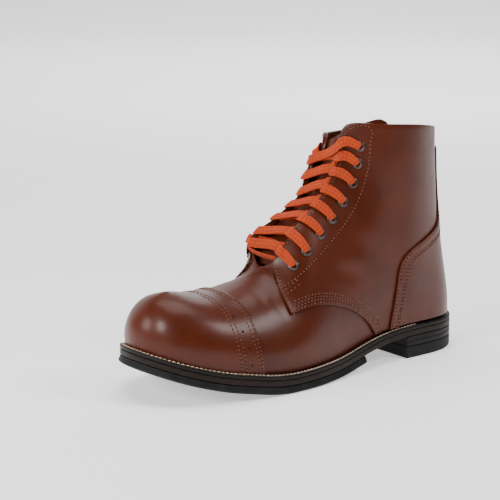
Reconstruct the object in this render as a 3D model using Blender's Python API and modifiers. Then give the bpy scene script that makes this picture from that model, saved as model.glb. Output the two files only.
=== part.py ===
"""Ankle-high army service boot for the left foot, standing empty on its sole.

Metres, +Z up, toe toward -Y, outer (lateral) side toward +X. The origin is the middle of the heel's bottom.
"""

import math

import bmesh
import bpy
import numpy as np
from mathutils import Matrix, Vector

# Sole sizes
OUTSOLE_LENGTH = 0.304
BALL_WIDTH = 0.108
HEEL_BACK_Y = 0.037
HEEL_HEIGHT = 0.0265
HEEL_LENGTH = 0.068
RUBBER_HEEL_THICKNESS = 0.0095
TOE_SPRING = 0.0250
WELT_THICKNESS = 0.0032
MIDSOLE_THICKNESS = 0.0046
HALF_SOLE_THICKNESS = 0.0060
HALF_SOLE_END_SHARE = 0.380
SOLE_FLARE = 0.0013
WELT_LEDGE = 0.0055
WELT_WIDTH = 0.0150
GAP = 0.0003

# Upper sizes
TOE_BOX_HEIGHT = 0.0753
COLLAR_FRONT_HEIGHT = 0.1845
COLLAR_BACK_DROP = 0.0070
COLLAR_OUTER_LIFT = 0.0052
COLLAR_INNER_DROP = 0.0075
THROAT_HALF_GAP = 0.0150
COLLAR_HALF_GAP = 0.0110
LINED_WALL = 0.0018
OVERLAY_WALL = 0.0017
INSOLE_THICKNESS = 0.0035
TONGUE_THICKNESS = 0.0022
TONGUE_CLEARANCE = 0.0013
TONGUE_RISE = 0.0075
TONGUE_TUCK = 0.0022
TONGUE_CROWN = 0.0008
TONGUE_REACH_LOW = 0.010
TONGUE_INNER_REACH = 0.013
TONGUE_OUTER_REACH = 0.039

# Lacing sizes
EYELET_RADIUS = 0.0041
EYELET_HOLE_RADIUS = 0.0021
EYELET_HEIGHT = 0.0010
LACE_WIDTH = 0.0072
LACE_THICKNESS = 0.0015
LACE_CLEARANCE = 0.0009
LACE_INSET = 0.0075
LACE_DIVE = 1.4
LACE_SLIP = 0.35

# Derived heights
QUARTER_LIFT = 2.6 * GAP
COUNTER_LIFT = QUARTER_LIFT + OVERLAY_WALL + 2.3 * GAP
SOLE_STACK = WELT_THICKNESS + MIDSOLE_THICKNESS + HALF_SOLE_THICKNESS + 2 * GAP
HEEL_BREAST_Y = HEEL_BACK_Y - HEEL_LENGTH
HALF_SOLE_END_Y = HEEL_BACK_Y - HALF_SOLE_END_SHARE * OUTSOLE_LENGTH

# The welt's outline: share of the length from the heel back, sideways share of the ball width
TOE_POINT = (1.000, -0.030)
LATERAL_EDGE = (
    (0.970, 0.225), (0.910, 0.370), (0.830, 0.445), (0.730, 0.490), (0.620, 0.500), (0.500, 0.445),
    (0.380, 0.360), (0.260, 0.315), (0.160, 0.300), (0.080, 0.262), (0.030, 0.172),
)
HEEL_POINT = (0.000, 0.000)
MEDIAL_EDGE = (
    (0.980, -0.235), (0.935, -0.385), (0.860, -0.480), (0.760, -0.510), (0.660, -0.485), (0.550, -0.390),
    (0.440, -0.300), (0.330, -0.265), (0.220, -0.285), (0.100, -0.275), (0.030, -0.175),
)

# The welt's top: share of the length from the heel back, share of the heel's rise, share of the toe spring
WELT_HEIGHTS = (
    (0.00, 0.93, 0.00), (0.10, 0.97, 0.00), (0.22, 0.96, 0.00), (0.33, 0.68, 0.00), (0.45, 0.17, 0.00),
    (0.56, 0.00, 0.00), (0.66, 0.00, 0.00), (0.71, 0.00, 0.06), (0.76, 0.00, 0.17), (0.82, 0.00, 0.31),
    (0.88, 0.00, 0.50), (0.94, 0.00, 0.73), (1.00, 0.00, 1.00),
)

# Where the seven points of a section lie along it
ROW_KNOTS = (0.0, 0.16, 0.36, 0.56, 0.74, 0.88, 1.0)

# Sections round the toe, from the feather line to the ridge. Columns: share of the feather line from the toe
# tip, ridge place as a share of the length, ridge rise from the toe box to the collar, then five (reach, height)
# shares
TOE_SECTIONS = {
    "toe_tip": (
        0.000, 0.891, 0.000, ((1.006, 0.14), (0.98, 0.35), (0.84, 0.635), (0.55, 0.875), (0.24, 0.980)),
    ),
    "toe_corner": (
        0.070, 0.885, -0.004, ((1.013, 0.14), (0.99, 0.365), (0.85, 0.645), (0.58, 0.872), (0.28, 0.968)),
    ),
    "toe_side": (
        0.140, 0.868, -0.010, ((1.02, 0.145), (1.00, 0.37), (0.86, 0.645), (0.60, 0.87), (0.30, 0.963)),
    ),
    "cap_middle": (
        0.220, 0.826, -0.035, ((1.027, 0.155), (1.008, 0.39), (0.86, 0.655), (0.60, 0.872), (0.30, 0.961)),
    ),
    "cap_edge": (
        0.285, 0.763, -0.038, ((1.028, 0.17), (0.99, 0.395), (0.84, 0.652), (0.59, 0.865), (0.30, 0.962)),
    ),
    "ball": (0.360, 0.684, 0.004, ((1.03, 0.17), (0.98, 0.405), (0.82, 0.65), (0.58, 0.86), (0.30, 0.96))),
    "throat": (0.425, 0.622, 0.090, ((1.02, 0.18), (0.96, 0.40), (0.80, 0.64), (0.56, 0.85), (0.30, 0.96))),
}

# Sections up the instep and the front of the shaft, from the feather line to the edge of the facing. Columns:
# feather share, edge place as a share of the length, edge rise, edge's sideways share of the ball width beyond
# the facing gap, then five (width, height) shares, the width of the foot at the feather line being 1
SHAFT_SECTIONS = {
    "waist": (
        0.500, 0.5625, 0.309, 0.0, ((1.02, 0.17), (0.975, 0.37), (0.85, 0.60), (0.66, 0.82), (0.46, 0.95)),
    ),
    "instep": (
        0.575, 0.497, 0.455, 0.0, ((1.02, 0.155), (0.99, 0.345), (0.89, 0.57), (0.73, 0.79), (0.53, 0.94)),
    ),
    "ankle_low": (
        0.640, 0.444, 0.602, 0.0, ((1.04, 0.14), (1.07, 0.32), (1.02, 0.54), (0.86, 0.755), (0.61, 0.92)),
    ),
    "ankle_front": (
        0.695, 0.405, 0.803, 0.0, ((1.06, 0.125), (1.15, 0.295), (1.14, 0.505), (0.96, 0.715), (0.62, 0.89)),
    ),
    "collar_front": (
        0.735, 0.385, 1.0, 0.0, ((1.08, 0.11), (1.19, 0.27), (1.22, 0.47), (1.10, 0.67), (0.76, 0.85)),
    ),
    "collar_curve": (
        0.762, 0.339, 0.998, 0.182, ((1.09, 0.11), (1.22, 0.27), (1.29, 0.47), (1.26, 0.66), (1.18, 0.84)),
    ),
    "collar_side": (
        0.790, 0.240, 0.985, 0.309, ((1.09, 0.105), (1.22, 0.26), (1.31, 0.46), (1.34, 0.65), (1.36, 0.835)),
    ),
}

# Sections round the heel, on lines out of the shaft's axis. Columns: feather share, top's reach share,
# share of the collar's drop, then five (reach, height) shares
SHAFT_AXIS_SHARE = 0.220
HEEL_SECTIONS = {
    "heel_side": (
        0.850, 0.92, 0.45, ((1.04, 0.10), (1.05, 0.255), (1.02, 0.455), (0.98, 0.64), (0.94, 0.83)),
    ),
    "heel_corner": (
        0.922, 0.745, 0.85, ((1.0, 0.10), (0.945, 0.25), (0.85, 0.45), (0.80, 0.635), (0.768, 0.825)),
    ),
    "heel_back": (
        1.000, 0.625, 1.0, ((0.98, 0.10), (0.90, 0.25), (0.785, 0.45), (0.71, 0.63), (0.655, 0.82)),
    ),
}
# How much of the collar's outer lift and of its inner drop each section takes
COLLAR_TILT = {
    "waist": (0.0, 0.08), "instep": (0.0, 0.30), "ankle_low": (0.0, 0.60), "ankle_front": (0.02, 0.85),
    "collar_front": (0.30, 1.0), "collar_curve": (1.0, 1.0), "collar_side": (0.90, 0.95), "heel_side": (0.25, 0.50),
    "heel_corner": (0.0, 0.12), "heel_back": (0.0, 0.0),
}
STATIONS = [*TOE_SECTIONS, *SHAFT_SECTIONS, *HEEL_SECTIONS]
THROAT = float(STATIONS.index("throat"))
COLLAR_FRONT = float(STATIONS.index("collar_front"))
HEEL_SIDE = float(STATIONS.index("heel_side"))
HEEL_BACK = float(len(STATIONS) - 1)
THROAT_ROUNDING = 0.7

# Seam lines on the upper: (place along the sections, share up the section)
CAP_EDGE_LINE = ((4.45, 0.0), (4.36, 0.25), (4.30, 0.45), (4.27, 0.64), (4.22, 0.83), (4.12, 1.0))
QUARTER_FRONT_LINE = ((6.10, 0.90), (5.95, 0.82), (5.77, 0.74), (5.71, 0.64), (5.74, 0.535))
QUARTER_LOWER_LINE = (
    (6.51, 0.49), (7.15, 0.44), (7.76, 0.38), (8.27, 0.32), (8.85, 0.22), (9.30, 0.11), (9.52, 0.02),
)
QUARTER_FEATHER = 0.02
COUNTER_FRONT_LINE = (
    (10.42, 0.02), (10.90, 0.17), (11.35, 0.29), (11.83, 0.39), (12.54, 0.475), (13.20, 0.525), (13.80, 0.57),
    (14.30, 0.615), (14.62, 0.67), (14.78, 0.74), (14.80, 0.93),
)
EYELET_PLACES = (
    (6.61, 0.775), (7.18, 0.775), (7.89, 0.80), (8.59, 0.825), (9.33, 0.838), (10.16, 0.844), (10.87, 0.872),
    (11.34, 0.92),
)
# Where the facing's edge lies abreast of each eyelet
FACING_PLACES = (6.45, 6.90, 7.60, 8.25, 8.90, 9.45, 9.96, 10.55)

COLOURS = {
    "brown_leather": ((0.165, 0.045, 0.026), 0.38),
    "tan_lining": ((0.48, 0.30, 0.17), 0.75),
    "welt_leather": ((0.050, 0.032, 0.024), 0.55),
    "midsole_leather": ((0.070, 0.030, 0.020), 0.55),
    "black_rubber": ((0.018, 0.017, 0.017), 0.70),
    "heel_leather": ((0.045, 0.026, 0.018), 0.50),
    "gunmetal": ((0.060, 0.050, 0.048), 0.35),
    "orange_lace": ((0.520, 0.095, 0.022), 0.85),
}


def spline(knots, values, closed=False):
    """A smooth (C2) cubic through the values, as a function that also gives its first derivative."""
    t = np.asarray(knots, float)
    y = np.asarray(values, float).reshape(len(t), -1)
    shape = np.shape(values)[1:]
    h = np.diff(t)
    a = np.zeros((len(t), len(t)))
    r = np.zeros_like(y)
    for i in range(1, len(t) - 1):
        a[i, i - 1 : i + 2] = h[i - 1], 2 * (h[i - 1] + h[i]), h[i]
        r[i] = 6 * ((y[i + 1] - y[i]) / h[i] - (y[i] - y[i - 1]) / h[i - 1])
    a[0, 0] = a[-1, -1] = 1
    if closed:
        a[0, -1] = -1
        a[-1, 0], a[-1, 1], a[-1, -2], a[-1, -1] = 2 * h[0], h[0], h[-1], 2 * h[-1]
        r[-1] = 6 * ((y[1] - y[0]) / h[0] - (y[-1] - y[-2]) / h[-1])
    m = np.linalg.solve(a, r)

    def at(x, order=0):
        x = np.asarray(x, float)
        if closed:
            x = t[0] + np.mod(x - t[0], t[-1] - t[0])
        i = np.clip(np.searchsorted(t, x, side="right") - 1, 0, len(t) - 2)
        width = h[i][..., None]
        left = (t[i + 1] - x)[..., None]
        right = (x - t[i])[..., None]
        if order:
            out = (m[i + 1] * right**2 - m[i] * left**2) / (2 * width)
            out += (y[i + 1] - y[i]) / width - (m[i + 1] - m[i]) * width / 6
        else:
            out = (m[i] * left**3 + m[i + 1] * right**3) / (6 * width)
            out += (y[i] / width - m[i] * width / 6) * left + (y[i + 1] / width - m[i + 1] * width / 6) * right
        return out.reshape(np.shape(x) + shape)

    return at


def place_y(share):
    """The Y of a share of the outsole's length, counted from the heel back."""
    return HEEL_BACK_Y - np.asarray(share, float) * OUTSOLE_LENGTH


def make_outline():
    rows = [TOE_POINT, *LATERAL_EDGE, HEEL_POINT, *MEDIAL_EDGE[::-1], TOE_POINT]
    points = np.array([(x * BALL_WIDTH, place_y(t)) for t, x in rows])
    steps = np.linalg.norm(np.diff(points, axis=0), axis=1)
    knots = np.concatenate([[0.0], np.cumsum(steps)])
    return spline(knots, points, closed=True), knots[-1], knots[1 + len(LATERAL_EDGE)]


OUTLINE, OUTLINE_TURN, OUTLINE_HEEL = make_outline()
WELT_RISE = spline([row[0] for row in WELT_HEIGHTS], [row[1:] for row in WELT_HEIGHTS])


def outline_point(side, share, inset=0.0):
    """XY of the welt's outline, inset: side +1 lateral, -1 medial; share 0 at the toe tip, 1 at the heel back."""
    share = np.asarray(share, float)
    knot = share * OUTLINE_HEEL if side > 0 else OUTLINE_TURN - share * (OUTLINE_TURN - OUTLINE_HEEL)
    way = OUTLINE(knot, 1)
    way = way / np.linalg.norm(way, axis=-1, keepdims=True)
    inward = np.stack([-way[..., 1], way[..., 0]], -1)
    return OUTLINE(knot) + inward * inset


def welt_top(y):
    rise = WELT_RISE(np.clip((HEEL_BACK_Y - np.asarray(y, float)) / OUTSOLE_LENGTH, 0.0, 1.0))
    return SOLE_STACK + rise[..., 0] * (HEEL_HEIGHT - SOLE_STACK) + rise[..., 1] * TOE_SPRING


def feather_point(side, share):
    """Where the upper meets the welt."""
    xy = outline_point(side, share, WELT_LEDGE)
    return np.concatenate([xy, welt_top(xy[..., 1])[..., None] + GAP], -1)


def ridge_height(rise):
    return TOE_BOX_HEIGHT + rise * (COLLAR_FRONT_HEIGHT - TOE_BOX_HEIGHT)


def collar_tilt(side, name):
    """How far a section's top lies above the level collar on the outer side, or below it on the inner one."""
    outer, inner = COLLAR_TILT[name]
    return outer * COLLAR_OUTER_LIFT if side > 0 else -inner * COLLAR_INNER_DROP


def section_points(side, name):
    """The seven points of one named section."""
    if name in TOE_SECTIONS:
        share, place, rise, rows = TOE_SECTIONS[name]
        foot = feather_point(side, share)
        top = np.array([0.0, place_y(place), ridge_height(rise)])
        way = foot - top
        points = [(foot[0] * p, top[1] + way[1] * p, foot[2] - way[2] * q) for p, q in rows]
    elif name in SHAFT_SECTIONS:
        share, place, rise, wide, rows = SHAFT_SECTIONS[name]
        foot = feather_point(side, share)
        top = np.array([side * wide * BALL_WIDTH, place_y(place), ridge_height(rise) + collar_tilt(side, name)])
        lateral_width = feather_point(1, share)[0]
        points = [
            (
                side * (abs(foot[0]) * (1 - q) + lateral_width * q) * p,
                foot[1] + (top[1] - foot[1]) * q,
                foot[2] + (top[2] - foot[2]) * q,
            )
            for p, q in rows
        ]
    else:
        share, top_reach, drop, rows = HEEL_SECTIONS[name]
        foot = feather_point(side, share)
        axis = np.array([0.0, place_y(SHAFT_AXIS_SHARE)])
        top_height = COLLAR_FRONT_HEIGHT - drop * COLLAR_BACK_DROP + collar_tilt(side, name)
        top = np.array([*(axis + (foot[:2] - axis) * top_reach), top_height])
        points = [(*(axis + (foot[:2] - axis) * p), foot[2] + (top_height - foot[2]) * q) for p, q in rows]
    return np.array([foot, *points, top])


def make_rows():
    """The sections of both sides as one closed loop: lateral toe to heel, then medial heel to toe."""
    lateral = [section_points(1, name) for name in STATIONS]
    medial = [section_points(-1, name) for name in STATIONS]
    loop = lateral + medial[-2:0:-1] + lateral[:1]
    return spline(np.arange(len(loop)), np.array(loop), closed=True)


ROWS = make_rows()
FEATHER_SHARES = spline(
    np.arange(len(STATIONS)), [{**TOE_SECTIONS, **SHAFT_SECTIONS, **HEEL_SECTIONS}[name][0] for name in STATIONS]
)


# The tongue's top edge: share across it from the inner side, share of its rise above the collar's front
TONGUE_TOP = spline(
    (0.0, 0.25, 0.45, 0.60, 0.75, 0.92, 1.0), ([-0.90], [-0.80], [-0.20], [0.40], [0.80], [1.00], [0.70])
)


def facing_gap(s):
    """Half the width of the throat opening: nothing before the throat, then a round end and a slow taper."""
    s = np.asarray(s, float)
    ahead = np.clip((s - THROAT) / THROAT_ROUNDING, 0.0, 1.0)
    width = THROAT_HALF_GAP + (COLLAR_HALF_GAP - THROAT_HALF_GAP) * np.clip(
        (s - THROAT) / (COLLAR_FRONT - THROAT), 0.0, 1.0
    )
    fade = np.clip((HEEL_SIDE - s) / (HEEL_SIDE - COLLAR_FRONT), 0.0, 1.0)
    return width * np.sqrt(1 - (1 - ahead) ** 2) * fade


def rows_at(side, s):
    """The sections at s, set on the true feather line, with one ridge for both sides up to the throat."""
    s = np.asarray(s, float)
    rows = ROWS(s if side > 0 else 2 * HEEL_BACK - s)
    true_foot = feather_point(side, FEATHER_SHARES(s))
    drift = true_foot - rows[:, 0]
    rows = rows + drift[:, None] * (1 - np.array(ROW_KNOTS))[None, :, None]
    across = ROWS(2 * HEEL_BACK - s if side > 0 else s)[:, -1]
    shared = np.clip(THROAT + 1 - s, 0.0, 1.0)[:, None] / 2
    rows[:, -1] = rows[:, -1] * (1 - shared) + across * shared
    rows[:, -1, 0] = np.where(s <= THROAT, 0.0, rows[:, -1, 0] + side * facing_gap(s))
    return rows


def surface(side, s, v):
    """Points of the upper's outer face: s along the sections, v from the feather line (0) to the top (1)."""
    s, v = np.broadcast_arrays(np.asarray(s, float), np.asarray(v, float))
    shape = s.shape
    s = np.clip(s.ravel(), 0.0, HEEL_BACK)
    v = v.ravel()
    rows = rows_at(side, s)
    t = np.array(ROW_KNOTS)
    h = np.diff(t)
    last = len(t) - 1
    flat = rows.transpose(1, 0, 2).reshape(last + 1, -1)
    a = np.zeros((last + 1, last + 1))
    r = np.zeros_like(flat)
    for i in range(1, last):
        a[i, i - 1 : i + 2] = h[i - 1], 2 * (h[i - 1] + h[i]), h[i]
        r[i] = 6 * ((flat[i + 1] - flat[i]) / h[i] - (flat[i] - flat[i - 1]) / h[i - 1])
    a[0, 0] = 1
    a[last, last - 1 : last + 1] = h[-1], 2 * h[-1]
    chord = ((flat[last] - flat[last - 1]) / h[-1]).reshape(-1, 3)
    behind = rows_at(side, np.clip(s + 0.05, 0.1, None))[:, -1]
    ridge = behind - rows_at(side, np.clip(s - 0.05, 0.0, None))[:, -1]
    slope = ridge[:, 2] / np.where(np.abs(ridge[:, 1]) < 1e-7, 1e-7, ridge[:, 1])
    crown = np.clip((THROAT + 1 - s) / 1.0, 0.0, 1.0)
    natural = 1.5 * chord - 0.5 * (rows[:, last] - rows[:, last - 2]) / (t[last] - t[last - 2])
    level = np.stack([chord[:, 0] * 1.1, chord[:, 1] * 1.1, slope * chord[:, 1] * 1.1], -1)
    end = natural * (1 - crown[:, None]) + level * crown[:, None]
    r[last] = 6 * (end.reshape(-1) - chord.reshape(-1))
    m = np.linalg.solve(a, r).reshape(last + 1, -1, 3)
    y = flat.reshape(last + 1, -1, 3)
    i = np.clip(np.searchsorted(t, v, side="right") - 1, 0, last - 1)
    j = np.arange(len(s))
    width = h[i][:, None]
    left = (t[i + 1] - v)[:, None]
    right = (v - t[i])[:, None]
    out = (m[i, j] * left**3 + m[i + 1, j] * right**3) / (6 * width)
    out += (y[i, j] / width - m[i, j] * width / 6) * left + (y[i + 1, j] / width - m[i + 1, j] * width / 6) * right
    return out.reshape(shape + (3,))


def normals(side, s, v):
    """Outward unit normals of the upper's outer face."""
    s, v = np.broadcast_arrays(np.asarray(s, float), np.asarray(v, float))
    step = 0.01
    s_in = np.clip(s, 0.12, HEEL_BACK - 0.02)
    v_in = np.clip(v, 0.01, 0.985)
    along = surface(side, s_in + step, v_in) - surface(side, s_in - step, v_in)
    up = surface(side, s_in, v_in + step) - surface(side, s_in, v_in - step)
    n = side * np.cross(along, up)
    ridge = ((v > 1 - 1e-6) & (s <= THROAT))[..., None]
    n = np.where(ridge, np.stack([0 * n[..., 0], -along[..., 2], along[..., 1]], -1), n)
    n = np.where((s < 1e-6)[..., None], np.stack([0 * n[..., 0], -up[..., 2], up[..., 1]], -1), n)
    n = np.where((s > HEEL_BACK - 1e-6)[..., None], np.stack([0 * n[..., 0], up[..., 2], -up[..., 1]], -1), n)
    return n / np.linalg.norm(n, axis=-1, keepdims=True)


def lifted(side, s, v, lift):
    return surface(side, s, v) + normals(side, s, v) * lift


def material(name):
    made = bpy.data.materials.get(name)
    if made:
        return made
    colour, roughness = COLOURS[name]
    made = bpy.data.materials.new(name)
    made.use_nodes = True
    shader = made.node_tree.nodes["Principled BSDF"]
    shader.inputs["Base Color"].default_value = (*colour, 1.0)
    shader.inputs["Roughness"].default_value = roughness
    shader.inputs["Metallic"].default_value = 1.0 if name == "gunmetal" else 0.0
    return made


def add_object(name, mesh, finish, collection):
    mesh.materials.append(material(finish))
    made = bpy.data.objects.new(name, mesh)
    collection.objects.link(made)
    mesh.shade_smooth()
    mesh.set_sharp_from_angle(angle=math.radians(35))
    return made


def grid_faces(work, points, flip=False, closed=False):
    """Quads over a grid of points; a closed grid joins its last column to its first."""
    made = [[work.verts.new(p) for p in column] for column in points]
    columns = len(made)
    for i in range(columns if closed else columns - 1):
        here, following = made[i], made[(i + 1) % columns]
        for j in range(len(here) - 1):
            corners = [here[j], following[j], following[j + 1], here[j + 1]]
            work.faces.new(corners[::-1] if flip else corners)
    return made


def shell(name, grids, thickness, finish, collection):
    """A closed shell from open patches (points, flip) that are welded where they meet, thickened outward."""
    work = bmesh.new()
    for points, flip in grids:
        grid_faces(work, points, flip)
    bmesh.ops.remove_doubles(work, verts=work.verts, dist=1e-5)
    bmesh.ops.dissolve_degenerate(work, dist=1e-6, edges=work.edges)
    mesh = bpy.data.meshes.new(name)
    work.to_mesh(mesh)
    work.free()
    made = add_object(name, mesh, finish, collection)
    solid = made.modifiers.new("Wall", "SOLIDIFY")
    solid.thickness = abs(thickness)
    solid.offset = 1.0 if thickness > 0 else -1.0
    solid.use_even_offset = True
    solid.use_rim = True
    return made


def side_grid(side, s_lines, v_lines, lift):
    """Points of one side, a column for each s, and whether its faces turn over to point outward."""
    columns = [lifted(side, s, v, lift) for s, v in zip(s_lines, v_lines)]
    return columns, side < 0


def make_upper(collection):
    """Vamp and lining on the last, lateral and medial, joined at toe, ridge and back seam."""
    toe_to_throat = np.linspace(0.0, THROAT, 15)
    opening = THROAT + THROAT_ROUNDING * np.array([0.05, 0.2, 0.5, 1.0])
    facing = np.linspace(opening[-1], HEEL_BACK, 19)[1:]
    s_lines = np.concatenate([toe_to_throat, opening, facing])
    v_line = np.array([0.0, 0.08, 0.18, 0.30, 0.44, 0.58, 0.71, 0.83, 0.93, 1.0])
    grids = [side_grid(side, s_lines, [v_line] * len(s_lines), 0.0) for side in (1, -1)]
    return shell("upper", grids, -LINED_WALL, "brown_leather", collection)


def make_toe_cap(collection):
    edge = spline([v for _, v in CAP_EDGE_LINE], [s for s, _ in CAP_EDGE_LINE])
    v_line = np.array([0.026, 0.08, 0.18, 0.30, 0.44, 0.58, 0.71, 0.83, 0.93, 1.0])
    shares = np.linspace(0.0, 1.0, 12)
    s_lines = [edge(v_line) * k for k in shares]
    grids = [side_grid(side, s_lines, [v_line] * len(shares), 1.5 * GAP) for side in (1, -1)]
    return shell("toe_cap", grids, OVERLAY_WALL, "brown_leather", collection)


def resample(points, count):
    """Points spaced evenly along a polyline."""
    points = np.asarray(points, float)
    steps = np.linalg.norm(np.diff(points, axis=0) * (1.0, 8.0), axis=1)
    along = np.concatenate([[0.0], np.cumsum(steps)])
    wanted = np.linspace(0.0, along[-1], count)
    return np.stack([np.interp(wanted, along, points[:, k]) for k in (0, 1)], -1)


def make_quarter(side, collection):
    """One quarter: its top runs up the facing and round the collar, its bottom down to the tip and to the welt."""
    start = THROAT + THROAT_ROUNDING
    facing = [QUARTER_FRONT_LINE[0], (THROAT + 0.25, 0.965), (start, 1.0), (COLLAR_FRONT, 1.0)]
    collar = [(COLLAR_FRONT, 1.0), (HEEL_BACK, 1.0)]
    front = list(QUARTER_FRONT_LINE)
    lower = [front[-1], *QUARTER_LOWER_LINE]
    feather = [QUARTER_LOWER_LINE[-1], (HEEL_BACK, QUARTER_FEATHER)]
    top = np.vstack([resample(facing, 15), resample(collar, 16)[1:]])
    bottom = np.vstack([resample(front, 5), resample(lower, 12)[1:], resample(feather, 15)[1:]])
    across = np.linspace(0.0, 1.0, 9)
    s_lines = [b[0] + (t[0] - b[0]) * across for b, t in zip(bottom[1:], top[1:])]
    v_lines = [b[1] + (t[1] - b[1]) * across for b, t in zip(bottom[1:], top[1:])]
    name = "quarter_lateral" if side > 0 else "quarter_medial"
    if side < 0:
        s_lines[-1] = s_lines[-1] * 0 + HEEL_BACK - 0.02
    return shell(name, [side_grid(side, s_lines, v_lines, QUARTER_LIFT)], OVERLAY_WALL, "brown_leather", collection)


def make_counter(collection):
    """Outside counter, running up into the narrow back strip, over both quarters."""
    line = resample(COUNTER_FRONT_LINE, 14)
    shares = np.linspace(0.0, 1.0, 13)
    columns = []
    for side in (1, -1):
        for k in shares if side > 0 else shares[::-1][1:]:
            s = line[:, 0] + (HEEL_BACK - line[:, 0]) * k
            columns.append(lifted(side, s, line[:, 1], COUNTER_LIFT))
    return shell("counter", [(columns, False)], OVERLAY_WALL, "brown_leather", collection)


def across_facing(side, start, reach, count):
    """Places on the upper straight across from the facing's edge at start, out to reach."""
    edge = surface(side, start, 1.0)
    ahead = surface(side, start + 0.1, 1.0) - surface(side, start - 0.1, 1.0)
    v = np.linspace(1.0, 0.62, 30)
    low = np.full_like(v, start - 0.3)
    high = np.full_like(v, start + 3.0)
    for _ in range(20):
        half = (low + high) / 2
        beyond = (surface(side, half, v) - edge) @ ahead > 0
        high = np.where(beyond, half, high)
        low = np.where(beyond, low, half)
    steps = np.linalg.norm(np.diff(surface(side, low, v), axis=0), axis=1)
    along = np.concatenate([[0.0], np.cumsum(steps)])
    wanted = np.linspace(0.0, reach, count)
    return np.interp(wanted, along, low), np.interp(wanted, along, v)


def make_tongue(collection):
    """A strip under the facings, from the throat to above the outer collar, set over toward the outer side."""
    columns = []
    places = np.linspace(THROAT + 0.12, COLLAR_FRONT - 0.40, 14)
    for s in places:
        share = (s - THROAT) / (COLLAR_FRONT - THROAT)
        sunk = LINED_WALL + TONGUE_CLEARANCE + TONGUE_THICKNESS + max(0.0, 0.16 - share) / 0.16 * TONGUE_TUCK
        sides = []
        for side, widest, count in ((1, TONGUE_OUTER_REACH, 7), (-1, TONGUE_INNER_REACH, 4)):
            reach = TONGUE_REACH_LOW + (widest - TONGUE_REACH_LOW) * share
            sides.append(lifted(side, *across_facing(side, s, reach, count), -sunk))
        middle = (sides[0][0] + sides[1][0]) / 2
        ahead = surface(1, s + 0.1, 1.0) - surface(1, s - 0.1, 1.0)
        out = np.array([0.0, -ahead[2], ahead[1]]) / math.hypot(ahead[1], ahead[2])
        middle = middle + out * TONGUE_CROWN * min(1.0, share / 0.3)
        columns.append([*sides[1][::-1], middle, *sides[0]])
    columns = np.array(columns)
    way = surface(1, COLLAR_FRONT, 1.0) - surface(1, places[-1], 1.0)
    way[0] = 0.0
    turn = np.linspace(0.0, 1.0, columns.shape[1])[:, None]
    way = way / np.linalg.norm(way) * (1 - 0.7 * turn) + np.array([0.0, 0.0, 0.7]) * turn
    tops = COLLAR_FRONT_HEIGHT + TONGUE_RISE * TONGUE_TOP(turn[:, 0])
    rise = (tops - columns[-1][:, 2:]) / way[:, 2:]
    tip = [columns[-1] + way * rise * lift for lift in (0.25, 0.5, 0.75, 1.0)]
    return shell("tongue", [(np.array([*columns, *tip]), True)], TONGUE_THICKNESS, "brown_leather", collection)


def ring_columns(insets, heights, shares):
    """Closed loop of columns round the outline: for each point, one point per (inset, height) pair."""
    columns = []
    for side, order in ((1, shares), (-1, shares[::-1][1:-1])):
        for share in order:
            column = []
            for inset, height in zip(insets, heights):
                xy = outline_point(side, share, inset)
                column.append((*xy, height(xy[1])))
            columns.append(column)
    return columns


def plate(name, levels, y_range, finish, collection, count=40):
    """A solid between levels (inset, height function) of the outline, cut square at the ends of y_range."""
    ladder = np.linspace(0.0, 1.0, 400)
    ends = []
    for side in (1, -1):
        y = outline_point(side, ladder)[:, 1]
        inside = ladder[(y >= y_range[0] - 1e-9) & (y <= y_range[1] + 1e-9)]
        ends.append((inside[0], inside[-1]))
    cosine = (1 - np.cos(np.linspace(0.0, math.pi, count))) / 2
    spread = 0.5 * cosine + 0.5 * np.linspace(0.0, 1.0, count)
    work = bmesh.new()
    loops = []
    for inset, height in levels:
        loop = []
        for side, (first, final) in zip((1, -1), ends):
            shares = first + (final - first) * spread
            xy = outline_point(side, shares, inset)
            xy[:, 1] = np.clip(xy[:, 1], y_range[0], y_range[1])
            loop.append(np.column_stack([xy, height(xy[:, 1])]))
        loops.append(loop)
    for level, flip in ((loops[0], False), (loops[-1], True)):
        rungs = [(a, (a + b) / 2, b) for a, b in zip(level[0], level[1])]
        grid_faces(work, rungs, flip)
    for lower, upper in zip(loops[1:], loops[:-1]):
        for k, flip in ((0, True), (1, False)):
            columns = list(zip(lower[k], upper[k]))
            grid_faces(work, columns, not flip)
        for end in (0, -1):
            if np.linalg.norm(upper[0][end] - upper[1][end]) > 1e-6:
                bottom_end = [lower[0][end], (lower[0][end] + lower[1][end]) / 2, lower[1][end]]
                top_end = [upper[0][end], (upper[0][end] + upper[1][end]) / 2, upper[1][end]]
                grid_faces(work, list(zip(bottom_end, top_end)), end == -1)
    bmesh.ops.remove_doubles(work, verts=work.verts, dist=1e-6)
    bmesh.ops.recalc_face_normals(work, faces=work.faces)
    mesh = bpy.data.meshes.new(name)
    work.to_mesh(mesh)
    work.free()
    return add_object(name, mesh, finish, collection)


def level_below_welt(depth):
    return lambda y: welt_top(y) - depth


def tread_level(lift):
    """Height above the half sole's tread, which lies flat on the floor behind the toe spring."""
    return lambda y: np.maximum(welt_top(y) - SOLE_STACK, 0.0) + lift


def flat_level(z):
    return lambda y: np.zeros_like(np.asarray(y, float)) + z


def make_welt(collection):
    """The strip round the upper that carries the stitching, open in the middle under the insole."""
    shares = np.linspace(0.0, 1.0, 49)
    top = level_below_welt(0.0)
    bottom = level_below_welt(WELT_THICKNESS)
    columns = ring_columns((0.0, WELT_WIDTH, WELT_WIDTH, 0.0, 0.0), (top, top, bottom, bottom, top), shares)
    work = bmesh.new()
    grid_faces(work, columns, closed=True)
    bmesh.ops.remove_doubles(work, verts=work.verts, dist=1e-6)
    bmesh.ops.recalc_face_normals(work, faces=work.faces)
    mesh = bpy.data.meshes.new("welt")
    work.to_mesh(mesh)
    work.free()
    return add_object("welt", mesh, "welt_leather", collection)


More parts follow.
